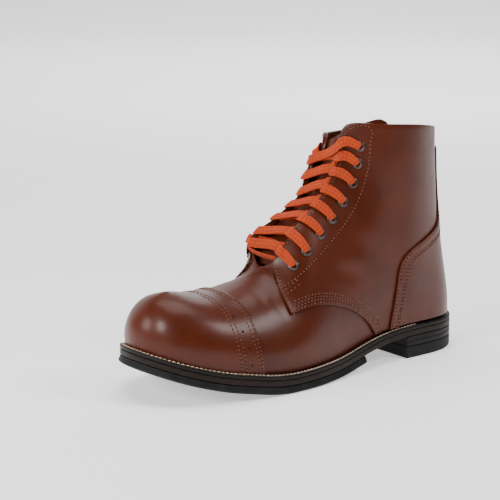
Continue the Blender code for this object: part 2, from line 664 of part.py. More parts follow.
def make_sole(collection):
    toe_y = HEEL_BACK_Y - OUTSOLE_LENGTH - BALL_WIDTH
    back_y = HEEL_BACK_Y + BALL_WIDTH
    midsole_top = WELT_THICKNESS + GAP
    midsole_bottom = midsole_top + MIDSOLE_THICKNESS
    below = midsole_bottom + GAP
    make_welt(collection)
    levels = ((0.0, level_below_welt(midsole_top)), (0.0, level_below_welt(midsole_bottom)))
    plate("midsole", levels, (toe_y, back_y), "midsole_leather", collection)
    levels = (
        (0.0, level_below_welt(below)),
        (-SOLE_FLARE, tread_level(0.0020)),
        (0.0012, tread_level(0.0)),
    )
    plate("half_sole", levels, (toe_y, HALF_SOLE_END_Y), "black_rubber", collection)
    lifts = ((0.0, level_below_welt(below)), (0.0, flat_level(RUBBER_HEEL_THICKNESS + GAP)))
    plate("heel_base", lifts, (HEEL_BREAST_Y, back_y), "heel_leather", collection, count=24)
    tread = ((0.0, flat_level(RUBBER_HEEL_THICKNESS)), (0.0, flat_level(0.0)))
    plate("heel_top_piece", tread, (HEEL_BREAST_Y, back_y), "black_rubber", collection, count=24)
    inner = WELT_LEDGE + LINED_WALL + 3 * GAP
    bed = (
        (inner, level_below_welt(-GAP - INSOLE_THICKNESS)),
        (inner, level_below_welt(-GAP)),
    )
    plate("insole", bed, (toe_y, back_y), "tan_lining", collection)


def on_quarter(side, s, v, lift):
    """Point above the quarter's outer face, with its outward direction."""
    return Vector(lifted(side, s, v, QUARTER_LIFT + OVERLAY_WALL + lift)), Vector(normals(side, s, v))


def make_eyelets(collection):
    middle = (EYELET_RADIUS + EYELET_HOLE_RADIUS) / 2
    rim = (EYELET_RADIUS - EYELET_HOLE_RADIUS) / 2
    for side, label in ((1, "lateral"), (-1, "medial")):
        for number, (s, v) in enumerate(EYELET_PLACES, 1):
            bpy.ops.mesh.primitive_torus_add(
                major_radius=middle, minor_radius=rim, major_segments=10, minor_segments=4
            )
            made = bpy.context.object
            made.name = made.data.name = f"eyelet_{label}_{number}"
            for holder in list(made.users_collection):
                holder.objects.unlink(made)
            collection.objects.link(made)
            made.data.transform(Matrix.Diagonal((1.0, 1.0, EYELET_HEIGHT / (2 * rim), 1.0)))
            made.data.materials.append(material("gunmetal"))
            made.data.shade_smooth()
            point, normal = on_quarter(side, s, v, EYELET_HEIGHT / 2 + 1.5 * GAP)
            made.location = point
            made.rotation_euler = normal.to_track_quat("Z", "Y").to_euler()


def ribbon(points, outs, width, thickness):
    """A closed flat band along points, facing the out directions."""
    work = bmesh.new()
    sections = []
    for i, (point, out) in enumerate(zip(points, outs)):
        way = (points[min(i + 1, len(points) - 1)] - points[max(i - 1, 0)]).normalized()
        across = way.cross(out).normalized() * (width / 2)
        up = out.normalized() * (thickness / 2)
        corners = [point - across - up, point + across - up, point + across + up, point - across + up]
        sections.append([work.verts.new(c) for c in corners])
    for a, b in zip(sections[:-1], sections[1:]):
        for j in range(4):
            k = (j + 1) % 4
            work.faces.new([a[j], a[k], b[k], b[j]])
    work.faces.new(sections[0])
    work.faces.new(sections[-1][::-1])
    bmesh.ops.triangulate(work, faces=work.faces)
    bmesh.ops.recalc_face_normals(work, faces=work.faces)
    return work


def lace_run(side, number, rise):
    """A run of lace: out of an eyelet, over its facing and across toward the next eyelet up on the other side."""
    low, high = FACING_PLACES[number - 1 : number + 1]
    over = LACE_THICKNESS / 2 + LACE_CLEARANCE + rise
    start, start_out = on_quarter(side, *EYELET_PLACES[number - 1], EYELET_HEIGHT + over)
    edge_lift = (2.4 + 0.25 * number) * LACE_CLEARANCE + over
    edge, edge_out = on_quarter(side, low + 0.18 * (high - low), 0.99, edge_lift)
    under = high - (high - low) * (LACE_SLIP if side < 0 else 0.0)
    far, far_out = on_quarter(-side, under, 1.0, over - 1.2 * LACE_CLEARANCE - LACE_DIVE * rise)
    far = far + Vector((side * LACE_INSET, 0.0, 0.0))
    middle = (edge + far) / 2 + (edge_out + far_out) * (0.0006 + rise / 2)
    curve = spline([0.0, 0.40, 0.72, 1.0], np.array([start, edge, middle, far]))
    outs = spline([0.0, 0.40, 1.0], np.array([start_out, edge_out, far_out]))
    places = np.linspace(0.0, 1.0, 8)
    return [Vector(p) for p in curve(places)], [Vector(o).normalized() for o in outs(places)]


def make_laces(collection, helpers):
    ends = [on_quarter(side, FACING_PLACES[0], 1.0, -0.0012) for side in (1, -1)]
    start, end = ends[0][0], ends[1][0]
    outs = [ends[0][1] + ends[1][1]] * 3
    points = [start.lerp(end, 0.10), start.lerp(end, 0.5), end.lerp(start, 0.10)]
    work = ribbon(points, outs, LACE_WIDTH, LACE_THICKNESS)
    mesh = bpy.data.meshes.new("lace_bar_bottom")
    work.to_mesh(mesh)
    work.free()
    add_object("lace_bar_bottom", mesh, "orange_lace", collection)
    for number in range(1, len(EYELET_PLACES)):
        name = f"lace_cross_{number}"
        made = []
        for side, rise in ((1, 0.0), (-1, LACE_THICKNESS * 0.5)):
            work = ribbon(*lace_run(side, number, rise), LACE_WIDTH, LACE_THICKNESS)
            mesh = bpy.data.meshes.new(name if side > 0 else name + "_over")
            work.to_mesh(mesh)
            work.free()
            target = collection if side > 0 else helpers
            made.append(add_object(mesh.name, mesh, "orange_lace", target))
        made[1].hide_render = True
        made[1].display_type = "WIRE"
        joined = made[0].modifiers.new("Crossing", "BOOLEAN")
        joined.operation = "UNION"
        joined.solver = "EXACT"
        joined.object = made[1]


def main():
    for old in list(bpy.data.objects):
        bpy.data.objects.remove(old, do_unlink=True)
    parts = bpy.data.collections.new("service_boot")
    helpers = bpy.data.collections.new("helpers")
    bpy.context.scene.collection.children.link(parts)
    bpy.context.scene.collection.children.link(helpers)
    make_upper(parts)
    make_toe_cap(parts)
    for side in (1, -1):
        make_quarter(side, parts)
    make_counter(parts)
    make_tongue(parts)
    make_sole(parts)
    make_eyelets(parts)
    make_laces(parts, helpers)


main()
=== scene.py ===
import math

import bmesh
import bpy
import numpy as np
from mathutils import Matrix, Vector


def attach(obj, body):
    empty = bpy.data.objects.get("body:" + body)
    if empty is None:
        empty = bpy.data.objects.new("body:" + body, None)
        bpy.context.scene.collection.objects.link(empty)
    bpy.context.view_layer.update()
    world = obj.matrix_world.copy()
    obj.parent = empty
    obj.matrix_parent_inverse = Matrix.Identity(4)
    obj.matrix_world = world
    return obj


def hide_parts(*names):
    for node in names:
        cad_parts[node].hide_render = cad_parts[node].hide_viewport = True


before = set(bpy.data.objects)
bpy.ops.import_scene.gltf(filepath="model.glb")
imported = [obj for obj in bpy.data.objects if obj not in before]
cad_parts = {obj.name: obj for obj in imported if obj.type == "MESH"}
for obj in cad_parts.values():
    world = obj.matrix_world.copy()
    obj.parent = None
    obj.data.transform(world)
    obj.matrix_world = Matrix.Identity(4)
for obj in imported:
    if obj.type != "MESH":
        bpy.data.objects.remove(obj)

bl_info = {
    "name": "Service boot",
    "version": (1, 0, 0),
    "blender": (4, 5, 0),
    "location": "3D View > Sidebar > Service boot",
    "description": "Makes the visual model of an ankle-high leather service boot on its packed frame",
    "category": "Object",
}

# Sole sizes
OUTSOLE_LENGTH = 0.304
BALL_WIDTH = 0.108
HEEL_BACK_Y = 0.037
HEEL_HEIGHT = 0.0265
HEEL_LENGTH = 0.068
RUBBER_HEEL_THICKNESS = 0.0095
TOE_SPRING = 0.0250
WELT_THICKNESS = 0.0032
MIDSOLE_THICKNESS = 0.0046
HALF_SOLE_THICKNESS = 0.0060
HALF_SOLE_END_SHARE = 0.380
SOLE_FLARE = 0.0013
WELT_LEDGE = 0.0055
WELT_WIDTH = 0.0150
GAP = 0.0003

# Upper sizes
TOE_BOX_HEIGHT = 0.0753
COLLAR_FRONT_HEIGHT = 0.1845
COLLAR_BACK_DROP = 0.0070
COLLAR_OUTER_LIFT = 0.0052
COLLAR_INNER_DROP = 0.0075
THROAT_HALF_GAP = 0.0150
COLLAR_HALF_GAP = 0.0110
LINED_WALL = 0.0018
OVERLAY_WALL = 0.0017
INSOLE_THICKNESS = 0.0035
TONGUE_THICKNESS = 0.0022
TONGUE_CLEARANCE = 0.0013
TONGUE_RISE = 0.0075
TONGUE_TUCK = 0.0022
TONGUE_CROWN = 0.0008
TONGUE_REACH_LOW = 0.010
TONGUE_INNER_REACH = 0.013
TONGUE_OUTER_REACH = 0.039

# Lacing sizes
EYELET_RADIUS = 0.0041
EYELET_HOLE_RADIUS = 0.0021
EYELET_HEIGHT = 0.0010
LACE_WIDTH = 0.0072
LACE_THICKNESS = 0.0015

# Derived heights
SOLE_STACK = WELT_THICKNESS + MIDSOLE_THICKNESS + HALF_SOLE_THICKNESS + 2 * GAP
HEEL_BREAST_Y = HEEL_BACK_Y - HEEL_LENGTH
HALF_SOLE_END_Y = HEEL_BACK_Y - HALF_SOLE_END_SHARE * OUTSOLE_LENGTH

# The welt's outline: share of the length from the heel back, sideways share of the ball width
TOE_POINT = (1.000, -0.030)
LATERAL_EDGE = (
    (0.970, 0.225), (0.910, 0.370), (0.830, 0.445), (0.730, 0.490), (0.620, 0.500), (0.500, 0.445),
    (0.380, 0.360), (0.260, 0.315), (0.160, 0.300), (0.080, 0.262), (0.030, 0.172),
)
HEEL_POINT = (0.000, 0.000)
MEDIAL_EDGE = (
    (0.980, -0.235), (0.935, -0.385), (0.860, -0.480), (0.760, -0.510), (0.660, -0.485), (0.550, -0.390),
    (0.440, -0.300), (0.330, -0.265), (0.220, -0.285), (0.100, -0.275), (0.030, -0.175),
)

# The welt's top: share of the length from the heel back, share of the heel's rise, share of the toe spring
WELT_HEIGHTS = (
    (0.00, 0.93, 0.00), (0.10, 0.97, 0.00), (0.22, 0.96, 0.00), (0.33, 0.68, 0.00), (0.45, 0.17, 0.00),
    (0.56, 0.00, 0.00), (0.66, 0.00, 0.00), (0.71, 0.00, 0.06), (0.76, 0.00, 0.17), (0.82, 0.00, 0.31),
    (0.88, 0.00, 0.50), (0.94, 0.00, 0.73), (1.00, 0.00, 1.00),
)

# Where the seven points of a section lie along it
ROW_KNOTS = (0.0, 0.16, 0.36, 0.56, 0.74, 0.88, 1.0)

# Sections round the toe, from the feather line to the ridge. Columns: share of the feather line from the toe
# tip, ridge place as a share of the length, ridge rise from the toe box to the collar, then five (reach,
# height) shares
TOE_SECTIONS = {
    "toe_tip": (
        0.000, 0.891, 0.000, ((1.006, 0.14), (0.98, 0.35), (0.84, 0.635), (0.55, 0.875), (0.24, 0.980)),
    ),
    "toe_corner": (
        0.070, 0.885, -0.004, ((1.013, 0.14), (0.99, 0.365), (0.85, 0.645), (0.58, 0.872), (0.28, 0.968)),
    ),
    "toe_side": (
        0.140, 0.868, -0.010, ((1.02, 0.145), (1.00, 0.37), (0.86, 0.645), (0.60, 0.87), (0.30, 0.963)),
    ),
    "cap_middle": (
        0.220, 0.826, -0.035, ((1.027, 0.155), (1.008, 0.39), (0.86, 0.655), (0.60, 0.872), (0.30, 0.961)),
    ),
    "cap_edge": (
        0.285, 0.763, -0.038, ((1.028, 0.17), (0.99, 0.395), (0.84, 0.652), (0.59, 0.865), (0.30, 0.962)),
    ),
    "ball": (0.360, 0.684, 0.004, ((1.03, 0.17), (0.98, 0.405), (0.82, 0.65), (0.58, 0.86), (0.30, 0.96))),
    "throat": (0.425, 0.622, 0.090, ((1.02, 0.18), (0.96, 0.40), (0.80, 0.64), (0.56, 0.85), (0.30, 0.96))),
}

# Sections up the instep and the front of the shaft, from the feather line to the edge of the facing. Columns:
# feather share, edge place as a share of the length, edge rise, edge's sideways share of the ball width
# beyond the facing gap, then five (width, height) shares, the foot's width at the feather line being 1
SHAFT_SECTIONS = {
    "waist": (
        0.500, 0.5625, 0.309, 0.0, ((1.02, 0.17), (0.975, 0.37), (0.85, 0.60), (0.66, 0.82), (0.46, 0.95)),
    ),
    "instep": (
        0.575, 0.497, 0.455, 0.0, ((1.02, 0.155), (0.99, 0.345), (0.89, 0.57), (0.73, 0.79), (0.53, 0.94)),
    ),
    "ankle_low": (
        0.640, 0.444, 0.602, 0.0, ((1.04, 0.14), (1.07, 0.32), (1.02, 0.54), (0.86, 0.755), (0.61, 0.92)),
    ),
    "ankle_front": (
        0.695, 0.405, 0.803, 0.0, ((1.06, 0.125), (1.15, 0.295), (1.14, 0.505), (0.96, 0.715), (0.62, 0.89)),
    ),
    "collar_front": (
        0.735, 0.385, 1.0, 0.0, ((1.08, 0.11), (1.19, 0.27), (1.22, 0.47), (1.10, 0.67), (0.76, 0.85)),
    ),
    "collar_curve": (
        0.762, 0.339, 0.998, 0.182, ((1.09, 0.11), (1.22, 0.27), (1.29, 0.47), (1.26, 0.66), (1.18, 0.84)),
    ),
    "collar_side": (
        0.790, 0.240, 0.985, 0.309, ((1.09, 0.105), (1.22, 0.26), (1.31, 0.46), (1.34, 0.65), (1.36, 0.835)),
    ),
}

# Sections round the heel, on lines out of the shaft's axis. Columns: feather share, top's reach share,
# share of the collar's drop, then five (reach, height) shares
SHAFT_AXIS_SHARE = 0.220
HEEL_SECTIONS = {
    "heel_side": (
        0.850, 0.92, 0.45, ((1.04, 0.10), (1.05, 0.255), (1.02, 0.455), (0.98, 0.64), (0.94, 0.83)),
    ),
    "heel_corner": (
        0.922, 0.745, 0.85, ((1.0, 0.10), (0.945, 0.25), (0.85, 0.45), (0.80, 0.635), (0.768, 0.825)),
    ),
    "heel_back": (
        1.000, 0.625, 1.0, ((0.98, 0.10), (0.90, 0.25), (0.785, 0.45), (0.71, 0.63), (0.655, 0.82)),
    ),
}
# How much of the collar's outer lift and of its inner drop each section takes
COLLAR_TILT = {
    "waist": (0.0, 0.08), "instep": (0.0, 0.30), "ankle_low": (0.0, 0.60), "ankle_front": (0.02, 0.85),
    "collar_front": (0.30, 1.0), "collar_curve": (1.0, 1.0), "collar_side": (0.90, 0.95),
    "heel_side": (0.25, 0.50), "heel_corner": (0.0, 0.12), "heel_back": (0.0, 0.0),
}
STATIONS = [*TOE_SECTIONS, *SHAFT_SECTIONS, *HEEL_SECTIONS]
THROAT = float(STATIONS.index("throat"))
COLLAR_FRONT = float(STATIONS.index("collar_front"))
HEEL_SIDE = float(STATIONS.index("heel_side"))
HEEL_BACK = float(len(STATIONS) - 1)
THROAT_ROUNDING = 0.7

# Seam lines on the upper: (place along the sections, share up the section)
CAP_EDGE_LINE = ((4.45, 0.0), (4.36, 0.25), (4.30, 0.45), (4.27, 0.64), (4.22, 0.83), (4.12, 1.0))
QUARTER_FRONT_LINE = ((6.10, 0.90), (5.95, 0.82), (5.77, 0.74), (5.71, 0.64), (5.74, 0.535))
QUARTER_LOWER_LINE = (
    (6.51, 0.49), (7.15, 0.44), (7.76, 0.38), (8.27, 0.32), (8.85, 0.22), (9.30, 0.11), (9.52, 0.02),
)
QUARTER_FEATHER = 0.02
COUNTER_FRONT_LINE = (
    (10.42, 0.02), (10.90, 0.17), (11.35, 0.29), (11.83, 0.39), (12.54, 0.475), (13.20, 0.525), (13.80, 0.57),
    (14.30, 0.615), (14.62, 0.67), (14.78, 0.74), (14.80, 0.93),
)
EYELET_PLACES = (
    (6.61, 0.775), (7.18, 0.775), (7.89, 0.80), (8.59, 0.825), (9.33, 0.838), (10.16, 0.844), (10.87, 0.872),
    (11.34, 0.92),
)
# Where the facing's edge lies abreast of each eyelet
FACING_PLACES = (6.45, 6.90, 7.60, 8.25, 8.90, 9.45, 9.96, 10.55)


def spline(knots, values, closed=False):
    """A smooth (C2) cubic through the values, as a function that also gives its first derivative."""
    t = np.asarray(knots, float)
    y = np.asarray(values, float).reshape(len(t), -1)
    shape = np.shape(values)[1:]
    h = np.diff(t)
    a = np.zeros((len(t), len(t)))
    r = np.zeros_like(y)
    for i in range(1, len(t) - 1):
        a[i, i - 1 : i + 2] = h[i - 1], 2 * (h[i - 1] + h[i]), h[i]
        r[i] = 6 * ((y[i + 1] - y[i]) / h[i] - (y[i] - y[i - 1]) / h[i - 1])
    a[0, 0] = a[-1, -1] = 1
    if closed:
        a[0, -1] = -1
        a[-1, 0], a[-1, 1], a[-1, -2], a[-1, -1] = 2 * h[0], h[0], h[-1], 2 * h[-1]
        r[-1] = 6 * ((y[1] - y[0]) / h[0] - (y[-1] - y[-2]) / h[-1])
    m = np.linalg.solve(a, r)

    def at(x, order=0):
        x = np.asarray(x, float)
        if closed:
            x = t[0] + np.mod(x - t[0], t[-1] - t[0])
        i = np.clip(np.searchsorted(t, x, side="right") - 1, 0, len(t) - 2)
        width = h[i][..., None]
        left = (t[i + 1] - x)[..., None]
        right = (x - t[i])[..., None]
        if order:
            out = (m[i + 1] * right**2 - m[i] * left**2) / (2 * width)
            out += (y[i + 1] - y[i]) / width - (m[i + 1] - m[i]) * width / 6
        else:
            out = (m[i] * left**3 + m[i + 1] * right**3) / (6 * width)
            out += (y[i] / width - m[i] * width / 6) * left
            out += (y[i + 1] / width - m[i + 1] * width / 6) * right
        return out.reshape(np.shape(x) + shape)

    return at


def run_length(points, scale=1.0):
    """Distance along a line of points, from 0 at its first."""
    return np.concatenate([[0.0], np.cumsum(np.linalg.norm(np.diff(points, axis=0) * scale, axis=1))])


def place_y(share):
    """The Y of a share of the outsole's length, counted from the heel back."""
    return HEEL_BACK_Y - np.asarray(share, float) * OUTSOLE_LENGTH


def make_outline():
    rows = [TOE_POINT, *LATERAL_EDGE, HEEL_POINT, *MEDIAL_EDGE[::-1], TOE_POINT]
    points = np.array([(x * BALL_WIDTH, place_y(t)) for t, x in rows])
    knots = run_length(points)
    return spline(knots, points, closed=True), knots[-1], knots[1 + len(LATERAL_EDGE)]


OUTLINE, OUTLINE_TURN, OUTLINE_HEEL = make_outline()
WELT_RISE = spline([row[0] for row in WELT_HEIGHTS], [row[1:] for row in WELT_HEIGHTS])


def outline_point(side, share, inset=0.0):
    """XY of the welt's outline, inset: side +1 lateral, -1 medial; share 0 at the toe tip, 1 at the heel."""
    share = np.asarray(share, float)
    knot = share * OUTLINE_HEEL if side > 0 else OUTLINE_TURN - share * (OUTLINE_TURN - OUTLINE_HEEL)
    way = OUTLINE(knot, 1)
    way = way / np.linalg.norm(way, axis=-1, keepdims=True)
    inward = np.stack([-way[..., 1], way[..., 0]], -1)
    return OUTLINE(knot) + inward * inset


def welt_top(y):
    rise = WELT_RISE(np.clip((HEEL_BACK_Y - np.asarray(y, float)) / OUTSOLE_LENGTH, 0.0, 1.0))
    return SOLE_STACK + rise[..., 0] * (HEEL_HEIGHT - SOLE_STACK) + rise[..., 1] * TOE_SPRING


def feather_point(side, share):
    """Where the upper meets the welt."""
    xy = outline_point(side, share, WELT_LEDGE)
    return np.concatenate([xy, welt_top(xy[..., 1])[..., None] + GAP], -1)


def ridge_height(rise):
    return TOE_BOX_HEIGHT + rise * (COLLAR_FRONT_HEIGHT - TOE_BOX_HEIGHT)


def collar_tilt(side, name):
    """How far a section's top lies above the level collar on the outer side, or below it on the inner one."""
    outer, inner = COLLAR_TILT[name]
    return outer * COLLAR_OUTER_LIFT if side > 0 else -inner * COLLAR_INNER_DROP


def section_points(side, name):
    """The seven points of one named section."""
    if name in TOE_SECTIONS:
        share, place, rise, rows = TOE_SECTIONS[name]
        foot = feather_point(side, share)
        top = np.array([0.0, place_y(place), ridge_height(rise)])
        way = foot - top
        points = [(foot[0] * p, top[1] + way[1] * p, foot[2] - way[2] * q) for p, q in rows]
    elif name in SHAFT_SECTIONS:
        share, place, rise, wide, rows = SHAFT_SECTIONS[name]
        foot = feather_point(side, share)
        top_height = ridge_height(rise) + collar_tilt(side, name)
        top = np.array([side * wide * BALL_WIDTH, place_y(place), top_height])
        lateral_width = feather_point(1, share)[0]
        points = [
            (
                side * (abs(foot[0]) * (1 - q) + lateral_width * q) * p,
                foot[1] + (top[1] - foot[1]) * q,
                foot[2] + (top[2] - foot[2]) * q,
            )
            for p, q in rows
        ]
    else:
        share, top_reach, drop, rows = HEEL_SECTIONS[name]
        foot = feather_point(side, share)
        axis = np.array([0.0, place_y(SHAFT_AXIS_SHARE)])
        top_height = COLLAR_FRONT_HEIGHT - drop * COLLAR_BACK_DROP + collar_tilt(side, name)
        top = np.array([*(axis + (foot[:2] - axis) * top_reach), top_height])
        points = [(*(axis + (foot[:2] - axis) * p), foot[2] + (top_height - foot[2]) * q) for p, q in rows]
    return np.array([foot, *points, top])


def make_rows():
    """The sections of both sides as one closed loop: lateral toe to heel, then medial heel to toe."""
    lateral = [section_points(1, name) for name in STATIONS]
    medial = [section_points(-1, name) for name in STATIONS]
    loop = lateral + medial[-2:0:-1] + lateral[:1]
    return spline(np.arange(len(loop)), np.array(loop), closed=True)


ROWS = make_rows()
SECTIONS = {**TOE_SECTIONS, **SHAFT_SECTIONS, **HEEL_SECTIONS}
FEATHER_SHARES = spline(np.arange(len(STATIONS)), [SECTIONS[name][0] for name in STATIONS])


def facing_gap(s):
    """Half the width of the throat opening: nothing before the throat, then a round end and a slow taper."""
    s = np.asarray(s, float)
    ahead = np.clip((s - THROAT) / THROAT_ROUNDING, 0.0, 1.0)
    width = THROAT_HALF_GAP + (COLLAR_HALF_GAP - THROAT_HALF_GAP) * np.clip(
        (s - THROAT) / (COLLAR_FRONT - THROAT), 0.0, 1.0
    )
    fade = np.clip((HEEL_SIDE - s) / (HEEL_SIDE - COLLAR_FRONT), 0.0, 1.0)
    return width * np.sqrt(1 - (1 - ahead) ** 2) * fade


def rows_at(side, s):
    """The sections at s, set on the true feather line, with one ridge for both sides up to the throat."""
    s = np.asarray(s, float)
    rows = ROWS(s if side > 0 else 2 * HEEL_BACK - s)
    true_foot = feather_point(side, FEATHER_SHARES(s))
    drift = true_foot - rows[:, 0]
    rows = rows + drift[:, None] * (1 - np.array(ROW_KNOTS))[None, :, None]
    across = ROWS(2 * HEEL_BACK - s if side > 0 else s)[:, -1]
    shared = np.clip(THROAT + 1 - s, 0.0, 1.0)[:, None] / 2
    rows[:, -1] = rows[:, -1] * (1 - shared) + across * shared
    rows[:, -1, 0] = np.where(s <= THROAT, 0.0, rows[:, -1, 0] + side * facing_gap(s))
    return rows


def surface(side, s, v):
    """Points of the upper's outer face: s along the sections, v from the feather line (0) to the top (1)."""
    s, v = np.broadcast_arrays(np.asarray(s, float), np.asarray(v, float))
    shape = s.shape
    s = np.clip(s.ravel(), 0.0, HEEL_BACK)
    v = v.ravel()
    rows = rows_at(side, s)
    t = np.array(ROW_KNOTS)
    h = np.diff(t)
    last = len(t) - 1
    flat = rows.transpose(1, 0, 2).reshape(last + 1, -1)
    a = np.zeros((last + 1, last + 1))
    r = np.zeros_like(flat)
    for i in range(1, last):
        a[i, i - 1 : i + 2] = h[i - 1], 2 * (h[i - 1] + h[i]), h[i]
        r[i] = 6 * ((flat[i + 1] - flat[i]) / h[i] - (flat[i] - flat[i - 1]) / h[i - 1])
    a[0, 0] = 1
    a[last, last - 1 : last + 1] = h[-1], 2 * h[-1]
    chord = ((flat[last] - flat[last - 1]) / h[-1]).reshape(-1, 3)
    behind = rows_at(side, np.clip(s + 0.05, 0.1, None))[:, -1]
    ridge = behind - rows_at(side, np.clip(s - 0.05, 0.0, None))[:, -1]
    slope = ridge[:, 2] / np.where(np.abs(ridge[:, 1]) < 1e-7, 1e-7, ridge[:, 1])
    crown = np.clip((THROAT + 1 - s) / 1.0, 0.0, 1.0)
    natural = 1.5 * chord - 0.5 * (rows[:, last] - rows[:, last - 2]) / (t[last] - t[last - 2])
    level = np.stack([chord[:, 0] * 1.1, chord[:, 1] * 1.1, slope * chord[:, 1] * 1.1], -1)
    end = natural * (1 - crown[:, None]) + level * crown[:, None]
    r[last] = 6 * (end.reshape(-1) - chord.reshape(-1))
    m = np.linalg.solve(a, r).reshape(last + 1, -1, 3)
    y = flat.reshape(last + 1, -1, 3)
    i = np.clip(np.searchsorted(t, v, side="right") - 1, 0, last - 1)
    j = np.arange(len(s))
    width = h[i][:, None]
    left = (t[i + 1] - v)[:, None]
    right = (v - t[i])[:, None]
    out = (m[i, j] * left**3 + m[i + 1, j] * right**3) / (6 * width)
    out += (y[i, j] / width - m[i, j] * width / 6) * left
    out += (y[i + 1, j] / width - m[i + 1, j] * width / 6) * right
    return out.reshape(shape + (3,))


def normals(side, s, v):
    """Outward unit normals of the upper's outer face."""
    s, v = np.broadcast_arrays(np.asarray(s, float), np.asarray(v, float))
    step = 0.01
    s_in = np.clip(s, 0.12, HEEL_BACK - 0.02)
    v_in = np.clip(v, 0.01, 0.985)
    along = surface(side, s_in + step, v_in) - surface(side, s_in - step, v_in)
    up = surface(side, s_in, v_in + step) - surface(side, s_in, v_in - step)
    n = side * np.cross(along, up)
    ridge = ((v > 1 - 1e-6) & (s <= THROAT))[..., None]
    n = np.where(ridge, np.stack([0 * n[..., 0], -along[..., 2], along[..., 1]], -1), n)
    n = np.where((s < 1e-6)[..., None], np.stack([0 * n[..., 0], -up[..., 2], up[..., 1]], -1), n)
    n = np.where((s > HEEL_BACK - 1e-6)[..., None], np.stack([0 * n[..., 0], up[..., 2], -up[..., 1]], -1), n)
    return n / np.linalg.norm(n, axis=-1, keepdims=True)


def lifted(side, s, v, lift):
    return surface(side, s, v) + normals(side, s, v) * lift


def across_facing(side, start, reach, count):
    """Places on the upper straight across from the facing's edge at start, out to reach."""
    edge = surface(side, start, 1.0)
    ahead = surface(side, start + 0.1, 1.0) - surface(side, start - 0.1, 1.0)
    v = np.linspace(1.0, 0.62, 30)
    low = np.full_like(v, start - 0.3)
    high = np.full_like(v, start + 3.0)
    for _ in range(20):
        half = (low + high) / 2
        beyond = (surface(side, half, v) - edge) @ ahead > 0
        high = np.where(beyond, half, high)
        low = np.where(beyond, low, half)
    along = run_length(surface(side, low, v))
    wanted = np.linspace(0.0, reach, count)
    return np.interp(wanted, along, low), np.interp(wanted, along, v)


# The smoothed last: both sides on one closed grid, lateral toe to heel and back along the medial side
GRID_STEP = 24
GRID_ROWS = 97


def make_last_grid():
    places = np.linspace(0.0, HEEL_BACK, int(HEEL_BACK) * GRID_STEP + 1)
    rises = np.linspace(0.0, 1.0, GRID_ROWS)
    s, v = np.meshgrid(places, rises, indexing="ij")
    sides = [surface(side, s, v) for side in (1, -1)]
    loop = np.concatenate([sides[0], sides[1][-2:0:-1]])
    count = len(loop)
    around = np.arange(count)
    opening = np.minimum(around, count - around) > THROAT * GRID_STEP
    for _ in range(SMOOTHING_PASSES):
        across = (np.roll(loop, 1, 0) + np.roll(loop, -1, 0)) / 2
        soft = loop * 0.5 + across * 0.5
        soft[:, 1:-1] = soft[:, 1:-1] * 0.5 + (soft[:, :-2] + soft[:, 2:]) * 0.25
        ridge = (loop[:, -2] + loop[-around % count, -2]) / 2
        crown = soft[:, -1] * 0.6 + ridge * 0.4
        crown[:, 0] = 0.0
        loop[:, 1:-1] = soft[:, 1:-1]
        loop[:, -1] = np.where(opening[:, None], loop[:, -1], crown)
    return loop


def grid_normals(loop):
    along = np.roll(loop, -1, 0) - np.roll(loop, 1, 0)
    up = np.empty_like(loop)
    up[:, 1:-1] = loop[:, 2:] - loop[:, :-2]
    up[:, 0] = loop[:, 1] - loop[:, 0]
    count = len(loop)
    around = np.arange(count)
    closed = np.minimum(around, count - around) <= THROAT * GRID_STEP
    over = loop[-around % count, -2] - loop[:, -2]
    up[:, -1] = np.where(closed[:, None], over, loop[:, -1] - loop[:, -2])
    n = np.cross(along, up)
    n[0] = n[1] + n[-1]
    n[:, -1] = np.where((np.linalg.norm(n[:, -1], axis=-1) < 1e-12)[:, None], n[:, -2], n[:, -1])
    mirrored = n[-around % count, -1]
    n[:, -1] = np.where(closed[:, None], n[:, -1] / np.maximum(np.linalg.norm(n[:, -1:], axis=-1), 1e-12)
                        + mirrored / np.maximum(np.linalg.norm(mirrored, axis=-1), 1e-12)[:, None], n[:, -1])
    n /= np.maximum(np.linalg.norm(n, axis=-1, keepdims=True), 1e-12)
    for _ in range(4):
        n = (n + np.roll(n, 1, 0) + np.roll(n, -1, 0)) / 3
        n[:, 1:-1] = (n[:, 1:-1] * 2 + n[:, :-2] + n[:, 2:]) / 4
    return n / np.linalg.norm(n, axis=-1, keepdims=True)


SMOOTHING_PASSES = 30
CAP_REST = 0.0001
QUARTER_REST = 0.0002
COUNTER_REST = QUARTER_REST + OVERLAY_WALL + 0.0001
LAST_GRID = make_last_grid()
LAST_NORMALS = grid_normals(LAST_GRID)


def look_up(grid, side, s, v):
    """Values of a grid between its points."""
    s, v = np.broadcast_arrays(np.asarray(s, float), np.asarray(v, float))
    count = len(grid)
    x = np.clip(s, 0.0, HEEL_BACK) * GRID_STEP
    x = x if side > 0 else count - x
    y = np.clip(v, 0.0, 1.0) * (GRID_ROWS - 1)
    i = np.floor(x).astype(int)
    j = np.minimum(np.floor(y).astype(int), GRID_ROWS - 2)
    a = (x - i)[..., None]
    b = (y - j)[..., None]
    i, k = i % count, (i + 1) % count
    low = grid[i, j] * (1 - a) + grid[k, j] * a
    high = grid[i, j + 1] * (1 - a) + grid[k, j + 1] * a
    return low * (1 - b) + high * b


def skin(side, s, v, lift=0.0):
    """A point of the leather's outer face, lifted along its normal, with the creases of the last added."""
    place = look_up(LAST_GRID, side, s, v)
    out = look_up(LAST_NORMALS, side, s, v)
    lift = np.asarray(lift, float) + creases(side, s, v, place)
    return place + out * lift[..., None] + facing_flare(side, s, v)


# The inner facing's lower end stands open: how far it leans out, and along and up the boot where it does
FLARE = np.array((-0.0055, -0.0030, 0.0034))
FLARE_KNOTS = (
    (5.9, 0.0), (6.25, 0.4), (6.6, 1.0), (6.9, 0.5), (7.3, 0.0), (8.8, 0.0), (9.4, 0.6), (10.0, 0.8),
    (10.35, 0.2), (10.6, 0.0),
)


